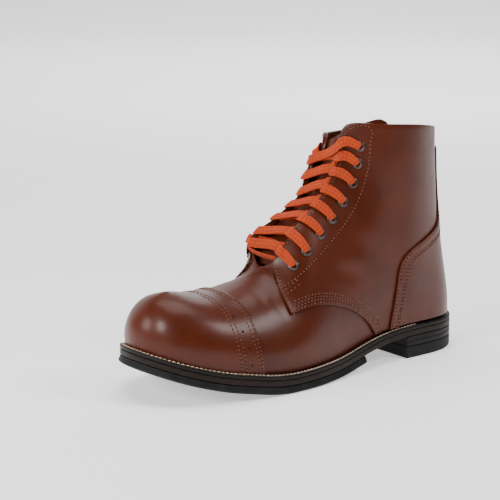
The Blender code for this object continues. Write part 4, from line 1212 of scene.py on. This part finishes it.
def run_tree():
    """Sets an item along each line at an even pitch, its X along the line and its Z outward."""
    tree = bpy.data.node_groups.get("Items along a seam")
    if tree:
        return tree
    tree = bpy.data.node_groups.new("Items along a seam", "GeometryNodeTree")
    inputs = {
        "Seam lines": "Geometry", "Pitch": "Float", "Start": "Float", "Item": "Object", "Finish": "Material",
    }
    for name, kind in inputs.items():
        tree.interface.new_socket(name, in_out="INPUT", socket_type="NodeSocket" + kind)
    tree.interface.new_socket("Items", in_out="OUTPUT", socket_type="NodeSocketGeometry")
    nodes, links = tree.nodes, tree.links
    given = nodes.new("NodeGroupInput")
    to_curve = nodes.new("GeometryNodeMeshToCurve")
    trim = nodes.new("GeometryNodeTrimCurve")
    trim.mode = "LENGTH"
    length_end = [i for i in trim.inputs if i.name == "End" and i.type == "VALUE"][-1]
    length_start = [i for i in trim.inputs if i.name == "Start" and i.type == "VALUE"][-1]
    length_end.default_value = 10.0
    spaced = nodes.new("GeometryNodeResampleCurve")
    spaced.mode = "LENGTH"
    outward = nodes.new("GeometryNodeInputNamedAttribute")
    outward.data_type = "FLOAT_VECTOR"
    outward.inputs["Name"].default_value = "outward"
    along = nodes.new("GeometryNodeInputTangent")
    face = nodes.new("FunctionNodeAlignRotationToVector")
    face.axis = "Z"
    turn = nodes.new("FunctionNodeAlignRotationToVector")
    turn.axis = "X"
    turn.pivot_axis = "Z"
    item = nodes.new("GeometryNodeObjectInfo")
    item.transform_space = "ORIGINAL"
    place = nodes.new("GeometryNodeInstanceOnPoints")
    real = nodes.new("GeometryNodeRealizeInstances")
    dress = nodes.new("GeometryNodeSetMaterial")
    out = nodes.new("NodeGroupOutput")
    links.new(given.outputs["Start"], length_start)
    for source, result, target, entry in (
        (given, "Seam lines", to_curve, "Mesh"),
        (to_curve, "Curve", trim, "Curve"),
        (trim, "Curve", spaced, "Curve"),
        (given, "Pitch", spaced, "Length"),
        (outward, "Attribute", face, "Vector"),
        (face, "Rotation", turn, "Rotation"),
        (along, "Tangent", turn, "Vector"),
        (spaced, "Curve", place, "Points"),
        (given, "Item", item, "Object"),
        (item, "Geometry", place, "Instance"),
        (turn, "Rotation", place, "Rotation"),
        (place, "Instances", real, "Geometry"),
        (real, "Geometry", dress, "Geometry"),
        (given, "Finish", dress, "Material"),
        (dress, "Geometry", out, "Items"),
    ):
        links.new(source.outputs[result], target.inputs[entry])
    return tree


def run_items(name, lines, item, pitch, start, finish_name, replaced=()):
    """A mesh of items along lines; each line is (points, outward directions)."""
    mesh = bpy.data.meshes.new(name)
    points, edges, outs = [], [], []
    for places, directions in lines:
        first = len(points)
        points.extend(map(tuple, places))
        outs.extend(map(tuple, directions))
        edges.extend((first + i, first + i + 1) for i in range(len(places) - 1))
    mesh.from_pydata(points, edges, [])
    outward = mesh.attributes.new("outward", "FLOAT_VECTOR", "POINT")
    outward.data.foreach_set("vector", np.array(outs, float).ravel())
    rough = bpy.data.objects.new(name + "_lines", mesh)
    bpy.context.scene.collection.objects.link(rough)
    tree = run_tree()
    spread = rough.modifiers.new("Run", "NODES")
    spread.node_group = tree
    keys = {entry.name: entry.identifier for entry in tree.interface.items_tree if entry.in_out == "INPUT"}
    spread[keys["Pitch"]] = pitch
    spread[keys["Start"]] = start
    spread[keys["Item"]] = item
    spread[keys["Finish"]] = finish(finish_name)
    done = applied(rough, name)
    return keep(done, name, (finish_name,), replaced, smooth=60)


def item_object(name, work):
    """A small object that Geometry Nodes repeat, hidden by itself."""
    mesh = close_mesh(work, name)
    mesh.shade_smooth()
    made = bpy.data.objects.new(name, mesh)
    bpy.context.scene.collection.objects.link(made)
    made.hide_render = True
    return made


def stitch_item(name, length, radius, sink):
    """One stitch: a short thread whose ends dive into the leather."""
    work = bmesh.new()
    rings = []
    for place in np.linspace(-1.0, 1.0, 7):
        x = place * length / 2
        z = radius * 0.35 - sink * place**4
        thick = radius * (1 - 0.35 * place**6)
        rings.append([
            work.verts.new((x, thick * math.cos(a), z + thick * 0.8 * math.sin(a)))
            for a in np.linspace(0, 2 * math.pi, 7)[:-1]
        ])
    ring_walls(work, rings)
    work.faces.new(rings[0][::-1])
    work.faces.new(rings[-1])
    return item_object(name, work)


def hole_item(name, radius, rise):
    """A shallow dark dimple that reads as a needle hole; its dark is painted shade."""
    work = bmesh.new()
    bmesh.ops.create_circle(work, cap_ends=True, segments=8, radius=radius)
    for v in work.verts:
        v.co.z = rise
    low = bmesh.ops.extrude_face_region(work, geom=list(work.faces))
    for v in [g for g in low["geom"] if isinstance(g, bmesh.types.BMVert)]:
        v.co.z = -rise * 3
    return item_object(name, work)


def step_across(side, line, distance):
    """Moves a line of (s, v) places sideways over the leather, to the right of its run seen from outside."""
    line = np.array(line, float)
    count = max(1, int(abs(distance) / 0.001))
    for _ in range(count):
        s, v = line[:, 0], np.clip(line[:, 1], 0.0, 1.0)
        place = look_up(LAST_GRID, side, s, v)
        way = np.gradient(place, axis=0)
        way /= np.maximum(np.linalg.norm(way, axis=1, keepdims=True), 1e-9)
        across = np.cross(way, skin_normal(side, s, v)) * (distance / count)
        ds = (look_up(LAST_GRID, side, s + 0.02, v) - look_up(LAST_GRID, side, s - 0.02, v)) / 0.04
        v0, v1 = np.clip(v - 0.01, 0, 1), np.clip(v + 0.01, 0, 1)
        dv = (look_up(LAST_GRID, side, s, v1) - look_up(LAST_GRID, side, s, v0)) / (v1 - v0)[:, None]
        a, b, c = (ds * ds).sum(1), (ds * dv).sum(1), (dv * dv).sum(1)
        p, q = (ds * across).sum(1), (dv * across).sum(1)
        det = np.maximum(a * c - b * b, 1e-16)
        line = line + np.stack([(c * p - b * q) / det, (a * q - b * p) / det], -1)
    return line


def seam(side, line, lift):
    """Points and outward directions of a seam line on top of an overlay, as far as it stays on its side."""
    line = np.asarray(line)
    line = line[(line[:, 1] <= 1.0) & (line[:, 1] >= 0.0)]
    return skin(side, line[:, 0], line[:, 1], lift), skin_normal(side, line[:, 0], line[:, 1])


def both(lines):
    """The same seam on both sides of the boot."""
    return [seam(side, line(side), lift) for line, lift in lines for side in (1, -1)]


# Rows of stitches: distances in millimetres from the piece's edge
CAP_ROWS = (1.7, 4.8, 15.2, 18.8)
QUARTER_ROWS = (1.8, 4.0, 6.2, 8.4)
FRONT_ROW = 2.0
COUNTER_ROWS = (2.2, 7.0, 9.0)
FACING_EDGE_ROW = 2.2
FACING_ROW = (
    (6.03, 0.73), (6.57, 0.70), (7.15, 0.695), (7.73, 0.713), (8.50, 0.742), (9.23, 0.762), (10.0, 0.777),
    (10.87, 0.806), (11.41, 0.856), (11.67, 0.906), (11.83, 0.944), (11.94, 0.972), (11.91, 0.987),
    (11.64, 0.989), (11.35, 0.984), (11.12, 0.981), (10.87, 0.980), (10.62, 0.980),
)
BAR_TACKS = (
    ((5.98, 0.705), (6.20, 0.700), (6.46, 0.690)),
    ((5.96, 0.675), (6.20, 0.668), (6.46, 0.658)),
)
PERFORATION_RADIUS = 0.0010
PERFORATION_PITCH = 0.0105
PERFORATION_LINE = ((3.70, 0.66), (3.75, 0.59), (3.82, 0.50), (3.88, 0.39), (3.94, 0.27), (3.98, 0.125))


def seam_lines():
    """Every stitched row on the upper: a function of the side that gives its places, and its lift."""
    cap = CAP_REST + OVERLAY_WALL
    quarter = QUARTER_REST + OVERLAY_WALL
    counter = COUNTER_REST + OVERLAY_WALL
    cap_v = np.linspace(0.03, 1.0, 70)
    cap_line = np.stack([cap_edge(cap_v), cap_v], -1)
    lower = curved([QUARTER_FRONT_LINE[-1], *QUARTER_LOWER_LINE], 80)
    front = curved(QUARTER_FRONT_LINE, 30)
    counter_edge = counter_line(90)
    rows = []

    def across(line, millimetres, side_way=1):
        return lambda side: step_across(side, line, side * side_way * millimetres / 1000)

    for offset in CAP_ROWS:
        rows.append((across(cap_line, offset, -1), cap))
    for number, offset in enumerate(QUARTER_ROWS):
        rows.append((across(lower[3 + number:], offset, -1), quarter))
    rows.append((across(front, FRONT_ROW, -1), quarter))
    for offset in COUNTER_ROWS:
        rows.append((across(counter_edge[1:], offset), counter))
    rows.append((lambda side: curved(FACING_ROW, 110), quarter))
    facing_edge = resample([(THROAT + THROAT_ROUNDING, 1.0), (COLLAR_FRONT - 0.42, 1.0)], 80)
    rows.append((across(facing_edge, FACING_EDGE_ROW), quarter))
    for tack in BAR_TACKS:
        rows.append((lambda side, tack=tack: curved(tack, 10), quarter))
    return rows


def make_stitches():
    sizes = bpy.context.scene.service_boot_stitches
    lines = both(seam_lines())
    pitch = sizes.pitch
    thread = stitch_item("thread_stitch", pitch * 0.62, sizes.thread / 2, sizes.thread * 0.55)
    run_items("upper_stitching", lines, thread, pitch, 0.0, "seam_thread")
    # Dark disks between the stitches: painted shade of the needle holes
    hole = hole_item("needle_hole_item", sizes.thread * 0.62, 0.00006)
    run_items("needle_holes", lines, hole, pitch, pitch / 2, "painted_hole_shade")
    bpy.data.objects.remove(thread)
    bpy.data.objects.remove(hole)


# The welt's stitched line, and the share of the way from toe to heel where it ends
WELT_STITCH_INSET = 0.0022
WELT_STITCH_END = 0.79


def make_welt_stitches():
    sizes = bpy.context.scene.service_boot_stitches
    shares = np.linspace(0.0, WELT_STITCH_END, 300)
    medial, lateral = (outline_point(side, shares, WELT_STITCH_INSET) for side in (-1, 1))
    loop = np.concatenate([medial[::-1], lateral[1:]])
    points = np.column_stack([loop, welt_top(loop[:, 1]) - 0.0001])
    lines = [(points, np.tile((0.0, 0.0, 1.0), (len(points), 1)))]
    thick = sizes.welt_thread
    thread = stitch_item("welt_stitch_item", sizes.welt_pitch * 0.86, thick / 2, thick * 0.45)
    run_items("welt_stitching", lines, thread, sizes.welt_pitch, 0.0, "welt_thread")
    bpy.data.objects.remove(thread)


def make_perforations():
    line = curved(PERFORATION_LINE, 60)
    lines = [seam(side, line, CAP_REST + OVERLAY_WALL) for side in (1, -1)]
    # Dark disks along the cap: painted shade of the perforations
    hole = hole_item("perforation_item", PERFORATION_RADIUS, 0.00008)
    run_items("cap_perforations", lines, hole, PERFORATION_PITCH, 0.001, "painted_hole_shade")
    bpy.data.objects.remove(hole)


# Eyelets


def eyelet_item():
    """A rolled metal eyelet with a flange and a short dark tube."""
    outer, hole, rise = EYELET_RADIUS, EYELET_HOLE_RADIUS, EYELET_HEIGHT
    profile = [
        (outer, -0.0002), (outer + 0.0001, 0.0002), (outer - 0.0002, 0.0006), (outer - 0.0008, rise),
        (hole + 0.0008, rise), (hole + 0.0003, rise * 0.8), (hole, rise * 0.3), (hole, -0.0014),
        (hole + 0.0003, -0.0016), (outer - 0.0006, -0.0004),
    ]
    work = bmesh.new()
    count = 28
    rings = []
    for k in range(count):
        a = 2 * math.pi * k / count
        rings.append([work.verts.new((r * math.cos(a), r * math.sin(a), z)) for r, z in profile])
    for k in range(count):
        here, following = rings[k], rings[(k + 1) % count]
        for j in range(len(profile)):
            i = (j + 1) % len(profile)
            work.faces.new([here[j], following[j], following[i], here[i]])
    return item_object("eyelet_item", work)


def make_eyelets():
    item = eyelet_item()
    # A dark disk in each eyelet's hole: painted shadow of the hole's inside
    eyelet_hole_shadow = hole_item("eyelet_shadow_item", EYELET_HOLE_RADIUS * 1.05, 0.00012)
    for side, label in ((1, "lateral"), (-1, "medial")):
        lines = []
        for s, v in EYELET_PLACES:
            place = skin(side, s, v, QUARTER_REST + OVERLAY_WALL)
            out = skin_normal(side, s, v)
            way = np.cross(out, (1.0, 0.0, 0.0))
            way /= np.linalg.norm(way)
            lines.append(([place, place + way * 0.0002], [out, out]))
        names = [f"eyelet_{label}_{n}" for n in range(1, len(EYELET_PLACES) + 1)]
        run_items(f"{label}_eyelets", lines, item, 1.0, 0.0, "gunmetal", names)
        run_items(f"{label}_eyelet_shadows", lines, eyelet_hole_shadow, 1.0, 0.0, "painted_hole_shade")
    bpy.data.objects.remove(item)
    bpy.data.objects.remove(eyelet_hole_shadow)


# Laces
LACE_FULLNESS = 1.08


def on_quarter(side, s, v, lift):
    """Point above the quarter's outer face, with its outward direction."""
    return skin(side, s, v, QUARTER_REST + OVERLAY_WALL + lift), skin_normal(side, s, v)


def lace_strip(work, uv, points, outs, widths, thickness):
    """Adds one flat, softly rounded lace run to the mesh, with its length and width in the UV map."""
    count = len(points)
    around = 12
    along = run_length(points)
    rings = []
    for i in range(count):
        way = points[min(i + 1, count - 1)] - points[max(i - 1, 0)]
        way = way / np.linalg.norm(way)
        out = outs[i] - way * (outs[i] @ way)
        out = out / np.linalg.norm(out)
        across = np.cross(way, out)
        ring = []
        for k in range(around):
            a = 2 * math.pi * k / around
            c, s = math.cos(a), math.sin(a)
            x = math.copysign(abs(c) ** 0.45, c) * widths[i] / 2
            z = math.copysign(abs(s) ** 0.75, s) * thickness / 2 * (1 - 0.25 * abs(x / widths[i] * 2) ** 3)
            ring.append(work.verts.new(points[i] + across * x + out * z))
        rings.append(ring)
    for i in range(count - 1):
        for k in range(around):
            m = (k + 1) % around
            face = work.faces.new([rings[i][k], rings[i][m], rings[i + 1][m], rings[i + 1][k]])
            sides = (k / around, (k + 1) / around)
            places = (along[i] / LACE_WIDTH, along[i + 1] / LACE_WIDTH)
            for loop, (u, w) in zip(face.loops, ((0, 0), (0, 1), (1, 1), (1, 0))):
                loop[uv].uv = (places[u], sides[w])
    work.faces.new(rings[0])
    work.faces.new(rings[-1][::-1])


# Each crossing's runs, as shares of the way up to the next eyelet: where the lower run leaves the outer
# facing, where the upper run leaves the inner facing, and where it goes under the outer one
LACE_RUNS = (
    (0.20, 0.10, 0.48), (0.20, -0.09, 0.38), (0.00, -0.25, 0.44), (0.06, -0.18, 0.52), (0.07, -0.14, 0.64),
    (0.22, -0.11, 0.66), (0.08, -0.08, 0.62),
)


def between_facings(s, across, level):
    """Point over the gap between the facings' edges, 0 at the outer and 1 at the inner, and its way up."""
    outer, inner = on_quarter(1, s, 1.0, 0.0)[0], on_quarter(-1, s, 1.0, 0.0)[0]
    ahead = on_quarter(1, s + 0.05, 1.0, 0.0)[0] + on_quarter(-1, s + 0.05, 1.0, 0.0)[0] - outer - inner
    up = np.cross(inner - outer, ahead)
    up = up / np.linalg.norm(up) * (1.0 if up[2] > 0 else -1.0)
    return outer + (inner - outer) * across + up * level, up


def through_eyelet(side, number, edge_s, flat):
    """The stops of a run from its eyelet's hole to the facing's edge at edge_s."""
    s, v = EYELET_PLACES[number]
    hole, out = on_quarter(side, s, v, -0.0016)
    mouth = on_quarter(side, s, v, EYELET_HEIGHT * 0.7)[0]
    shoulder, shoulder_out = on_quarter(side, (s + edge_s) / 2, (1.0 + v) / 2, flat + 0.0003)
    return [(hole, out, 0.55), (mouth, out, 0.70), (shoulder, shoulder_out, 1.0)]


def lace_route(side, number):
    """Centre line of one run: up through its eyelet, over the facing's edge, and under the other facing."""
    low, high = FACING_PLACES[number - 1 : number + 1]
    leave, start, stop = (low + share * (high - low) for share in LACE_RUNS[number - 1])
    flat = LACE_THICKNESS / 2 + 0.0003
    stops = through_eyelet(side, number - 1, leave if side > 0 else start, flat)

    def add(s, across, level):
        place, up = between_facings(s, across, level)
        stops.append((place, up, 1.0))

    def over(across):
        return stop + (start - stop) * across

    def under(v, depth):
        place, out = on_quarter(1, stop, v, -depth)
        stops.append((place, out, 1.0))

    top = number == len(EYELET_PLACES) - 1

    if side > 0:
        add(leave, 0.0, flat + 0.0003)
        add(leave + 0.10 * (high - low), 0.13, -0.0006)
        if top:
            add(over(0.52), 0.52, -0.0016)
            add(over(0.80) + 0.10, 0.80, -0.0002)
            add(over(1.0) + 0.40, 1.02, flat + 0.0010)
        else:
            add(over(0.34) + 0.05, 0.34, -0.0024)
            add(over(0.60) + 0.10, 0.60, -0.0030)
            add(over(0.85) + 0.12, 0.90, -0.0038)
            add(over(1.0) + 0.12, 1.20, -0.0050)
    else:
        add(start, 0.99, flat + 0.0004)
        add(over(0.72), 0.72, 0.0009)
        add(over(0.38), 0.38, 0.0007)
        if top:
            add(over(0.02), 0.02, flat + 0.0004)
        else:
            add(over(0.14), 0.14, -0.0008)
            under(1.0, 0.0034)
            under(0.972, 0.0040)
            under(0.945, 0.0044)
    if top:
        stops += through_eyelet(-side, number, over(1.0) + 0.40 if side > 0 else stop, flat)[::-1]
    points = np.array([place for place, _, _ in stops])
    outs = np.array([out / np.linalg.norm(out) for _, out, _ in stops])
    knots = np.concatenate([[0.0], np.cumsum(np.linalg.norm(np.diff(points, axis=0), axis=1) ** 0.7)])
    places = np.linspace(0.0, knots[-1], 72)
    line = spline(knots, points)(places)
    facing = np.stack([np.interp(places, knots, outs[:, k]) for k in range(3)], -1)
    wide = np.interp(places, knots, [width for _, _, width in stops]) * LACE_WIDTH * LACE_FULLNESS
    return line, facing, wide


def make_laces():
    work = bmesh.new()
    uv = work.loops.layers.uv.new("lace")
    ends = [on_quarter(side, FACING_PLACES[0] - 0.14, 1.0, -0.0034) for side in (1, -1)]
    start, end = ends[0][0] + (0.003, 0, 0), ends[1][0] - (0.003, 0, 0)
    out = ends[0][1] + ends[1][1]
    out = out / np.linalg.norm(out)
    places = np.linspace(0.0, 1.0, 24)
    bar = start + (end - start) * places[:, None] + out * (np.sin(places * math.pi) * 0.0008)[:, None]
    lace_strip(work, uv, bar, np.tile(out, (24, 1)), np.full(24, LACE_WIDTH), LACE_THICKNESS)
    for number in range(1, len(EYELET_PLACES)):
        for side in (1, -1):
            line, facing, wide = lace_route(side, number)
            lace_strip(work, uv, line, facing, wide, LACE_THICKNESS)
    mesh = close_mesh(work, "flat_lace")
    names = ["lace_bar_bottom"] + [f"lace_cross_{n}" for n in range(1, len(EYELET_PLACES))]
    keep(mesh, "flat_lace", ("woven_lace",), names, smooth=60)


# Stage


def make_floor():
    """A pale floor that curves up far behind, so no horizon shows."""
    work = bmesh.new()
    profile = [(-3.0, 0.0), (0.0, 0.0), (3.2, 0.0), (4.2, 0.12), (5.0, 0.6), (5.4, 1.5), (5.5, 5.0)]
    away = Vector((-math.sin(CAMERA_TURN), math.cos(CAMERA_TURN), 0.0))
    along = Vector((away.y, -away.x, 0.0))
    rows = []
    for reach, height in profile:
        middle = away * reach + Vector((0, 0, height))
        rows.append([work.verts.new(middle + along * x) for x in np.linspace(-7, 7, 15)])
    for low, high in zip(rows[:-1], rows[1:]):
        for i in range(14):
            work.faces.new([low[i], low[i + 1], high[i + 1], high[i]])
    mesh = close_mesh(work, "studio_floor")
    mesh.shade_smooth()
    made = bpy.data.objects.new("studio_floor", mesh)
    bpy.context.scene.collection.objects.link(made)
    paper, shader, add, links = new_finish("pale_paper", 0.9)
    place = add("ShaderNodeTexCoord").outputs["Object"]
    tone = add("ShaderNodeTexNoise", {"Vector": place}, Scale=2.0)
    shade = blend(add, tone.outputs["Fac"], (0.93, 0.93, 0.93), (0.95, 0.95, 0.95))
    paint(links, shader, shade)
    socket(shader, "Emission Color", (1.0, 1.0, 1.0, 1.0))
    socket(shader, "Emission Strength", bpy.context.scene.service_boot_stage.floor_glow)
    mesh.materials.append(paper)


def add_light(name, place, target, size, power):
    light = bpy.data.lights.new(name, "AREA")
    light.shape = "RECTANGLE"
    light.size, light.size_y = size
    light.energy = power
    made = bpy.data.objects.new(name, light)
    made.location = place
    made.rotation_euler = (Vector(target) - Vector(place)).to_track_quat("-Z", "Y").to_euler()
    bpy.context.scene.collection.objects.link(made)


CAMERA_TURN = math.radians(53.5)
CAMERA_RISE = math.radians(11.9)
CAMERA_DISTANCE = 1.300
CAMERA_TARGET = (-0.0295, -0.139, 0.091)
CAMERA_LENS = 121.3


def make_camera():
    out = Vector((
        math.sin(CAMERA_TURN) * math.cos(CAMERA_RISE), -math.cos(CAMERA_TURN) * math.cos(CAMERA_RISE),
        math.sin(CAMERA_RISE),
    ))
    data = bpy.data.cameras.new("photo_angle")
    data.lens = CAMERA_LENS
    data.sensor_width = 36.0
    made = bpy.data.objects.new("photo_angle", data)
    made.location = Vector(CAMERA_TARGET) + out * CAMERA_DISTANCE
    made.rotation_euler = (-out).to_track_quat("-Z", "Y").to_euler()
    bpy.context.scene.collection.objects.link(made)
    bpy.context.scene.camera = made


def make_lights():
    settings = bpy.context.scene.service_boot_stage
    heart = (-0.02, -0.12, 0.09)
    strength = settings.light_strength
    softboxes = {
        "overhead_softbox": ((-0.1, -0.1, 1.4), (1.1, 1.1), 17),
        "right_softbox": ((1.1, 0.7, 1.3), (0.45, 0.45), 15),
        "front_softbox": ((0.3, -1.7, 0.9), (0.4, 0.5), 19),
        "left_softbox": ((-0.6, -1.6, 0.6), (0.45, 0.45), 9),
        "far_fill": ((-1.5, -0.6, 0.7), (0.9, 0.9), 2),
        "back_fill": ((-1.2, 1.0, 0.8), (0.8, 0.8), 4),
    }
    for name, (place, size, power) in softboxes.items():
        add_light(name, place, heart, size, power * strength)
    add_light("backdrop_wash", (-1.4, 1.2, 1.6), (-2.4, 2.2, 0.2), (2.0, 1.0), 60 * strength)
    world = bpy.data.worlds.new("studio_air")
    world.use_nodes = True
    sky = world.node_tree.nodes["Background"]
    sky.inputs["Color"].default_value = (1.0, 1.0, 1.0, 1.0)
    sky.inputs["Strength"].default_value = settings.air_brightness
    bpy.context.scene.world = world


# Settings


class SERVICEBOOT_PG_colours(bpy.types.PropertyGroup):
    """Colours a user may change."""

    leather: bpy.props.FloatVectorProperty(
        name="Leather", description="Main colour of the upper's leather", subtype="COLOR", size=3,
        min=0.0, max=1.0, default=(0.072, 0.0120, 0.0034),
    )
    lace: bpy.props.FloatVectorProperty(
        name="Lace", description="Colour of the flat woven lace", subtype="COLOR", size=3, min=0.0, max=1.0,
        default=(0.40, 0.045, 0.0100),
    )
    thread: bpy.props.FloatVectorProperty(
        name="Seam thread", description="Colour of the thread in the upper's seams", subtype="COLOR", size=3,
        min=0.0, max=1.0, default=(0.20, 0.070, 0.040),
    )
    welt_thread: bpy.props.FloatVectorProperty(
        name="Welt thread", description="Colour of the thick thread on the welt", subtype="COLOR", size=3,
        min=0.0, max=1.0, default=(0.62, 0.46, 0.34),
    )


class SERVICEBOOT_PG_stitches(bpy.types.PropertyGroup):
    """Sizes of the stitching."""

    pitch: bpy.props.FloatProperty(
        name="Pitch", description="Distance from stitch to stitch in the upper", unit="LENGTH", default=0.0029
    )
    thread: bpy.props.FloatProperty(
        name="Thread", description="Thickness of the upper's thread", unit="LENGTH", default=0.00092
    )
    welt_pitch: bpy.props.FloatProperty(
        name="Welt pitch", description="Distance from stitch to stitch on the welt", unit="LENGTH",
        default=0.0034,
    )
    welt_thread: bpy.props.FloatProperty(
        name="Welt thread", description="Thickness of the welt's thread", unit="LENGTH", default=0.0013
    )


class SERVICEBOOT_PG_stage(bpy.types.PropertyGroup):
    """Light and air of the studio."""

    light_strength: bpy.props.FloatProperty(
        name="Light strength", description="Multiplies the power of every softbox", default=1.0, min=0.0
    )
    air_brightness: bpy.props.FloatProperty(
        name="Air brightness", description="Strength of the white surroundings", default=0.05, min=0.0
    )
    floor_glow: bpy.props.FloatProperty(
        name="Floor glow", description="Light that the pale floor gives off by itself", default=0.6, min=0.0
    )


# Operators


class SERVICEBOOT_OT_upper(bpy.types.Operator):
    """Make the vamp with its lining, as one hollow shell on the last"""

    bl_idname = "service_boot.upper"
    bl_label = "Vamp and lining"

    def execute(self, context):
        make_vamp()
        return {"FINISHED"}


class SERVICEBOOT_OT_overlays(bpy.types.Operator):
    """Make the toe cap, both quarters and the counter with its back strip"""

    bl_idname = "service_boot.overlays"
    bl_label = "Cap, quarters and counter"

    def execute(self, context):
        make_toe_cap()
        for side in (1, -1):
            make_quarter(side)
        make_counter()
        return {"FINISHED"}


class SERVICEBOOT_OT_inside(bpy.types.Operator):
    """Make the tongue and the footbed"""

    bl_idname = "service_boot.inside"
    bl_label = "Tongue and footbed"

    def execute(self, context):
        make_tongue()
        make_insole()
        return {"FINISHED"}


class SERVICEBOOT_OT_sole(bpy.types.Operator):
    """Make the welt, midsole, half sole and heel"""

    bl_idname = "service_boot.sole"
    bl_label = "Welt, sole and heel"

    def execute(self, context):
        make_welt()
        make_midsole()
        make_half_sole()
        make_heel()
        return {"FINISHED"}


class SERVICEBOOT_OT_stitching(bpy.types.Operator):
    """Make the seams, the welt stitching and the cap's perforations"""

    bl_idname = "service_boot.stitching"
    bl_label = "Stitching and perforations"

    def execute(self, context):
        make_stitches()
        make_welt_stitches()
        make_perforations()
        return {"FINISHED"}


class SERVICEBOOT_OT_lacing(bpy.types.Operator):
    """Make the eyelets and the flat lace"""

    bl_idname = "service_boot.lacing"
    bl_label = "Eyelets and lace"

    def execute(self, context):
        make_eyelets()
        make_laces()
        return {"FINISHED"}


class SERVICEBOOT_OT_stage(bpy.types.Operator):
    """Make the floor, the lights and the camera"""

    bl_idname = "service_boot.stage"
    bl_label = "Studio"

    def execute(self, context):
        make_floor()
        make_lights()
        make_camera()
        return {"FINISHED"}


class SERVICEBOOT_PT_panel(bpy.types.Panel):
    """Lists the boot's settings and the steps that make it"""

    bl_idname = "SERVICEBOOT_PT_panel"
    bl_label = "Service boot"
    bl_space_type = "VIEW_3D"
    bl_region_type = "UI"
    bl_category = "Service boot"

    def draw(self, context):
        for settings in ("service_boot_colours", "service_boot_stitches", "service_boot_stage"):
            group = getattr(context.scene, settings)
            box = self.layout.box()
            for name in group.__annotations__:
                box.prop(group, name)
        for operator in OPERATORS:
            self.layout.operator(operator.bl_idname)


OPERATORS = (
    SERVICEBOOT_OT_upper, SERVICEBOOT_OT_overlays, SERVICEBOOT_OT_inside, SERVICEBOOT_OT_sole,
    SERVICEBOOT_OT_stitching, SERVICEBOOT_OT_lacing, SERVICEBOOT_OT_stage,
)
GROUPS = {
    "service_boot_colours": SERVICEBOOT_PG_colours,
    "service_boot_stitches": SERVICEBOOT_PG_stitches,
    "service_boot_stage": SERVICEBOOT_PG_stage,
}


def register():
    for group in GROUPS.values():
        bpy.utils.register_class(group)
    for name, group in GROUPS.items():
        setattr(bpy.types.Scene, name, bpy.props.PointerProperty(type=group))
    for operator in OPERATORS:
        bpy.utils.register_class(operator)
    bpy.utils.register_class(SERVICEBOOT_PT_panel)


def unregister():
    bpy.utils.unregister_class(SERVICEBOOT_PT_panel)
    for operator in reversed(OPERATORS):
        bpy.utils.unregister_class(operator)
    for name, group in reversed(list(GROUPS.items())):
        delattr(bpy.types.Scene, name)
        bpy.utils.unregister_class(group)


def main():
    register()
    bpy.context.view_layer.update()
    bpy.ops.service_boot.upper()
    bpy.ops.service_boot.overlays()
    bpy.ops.service_boot.inside()
    bpy.ops.service_boot.sole()
    bpy.ops.service_boot.stitching()
    bpy.ops.service_boot.lacing()
    bpy.ops.service_boot.stage()


if __name__ == "__main__":
    main()
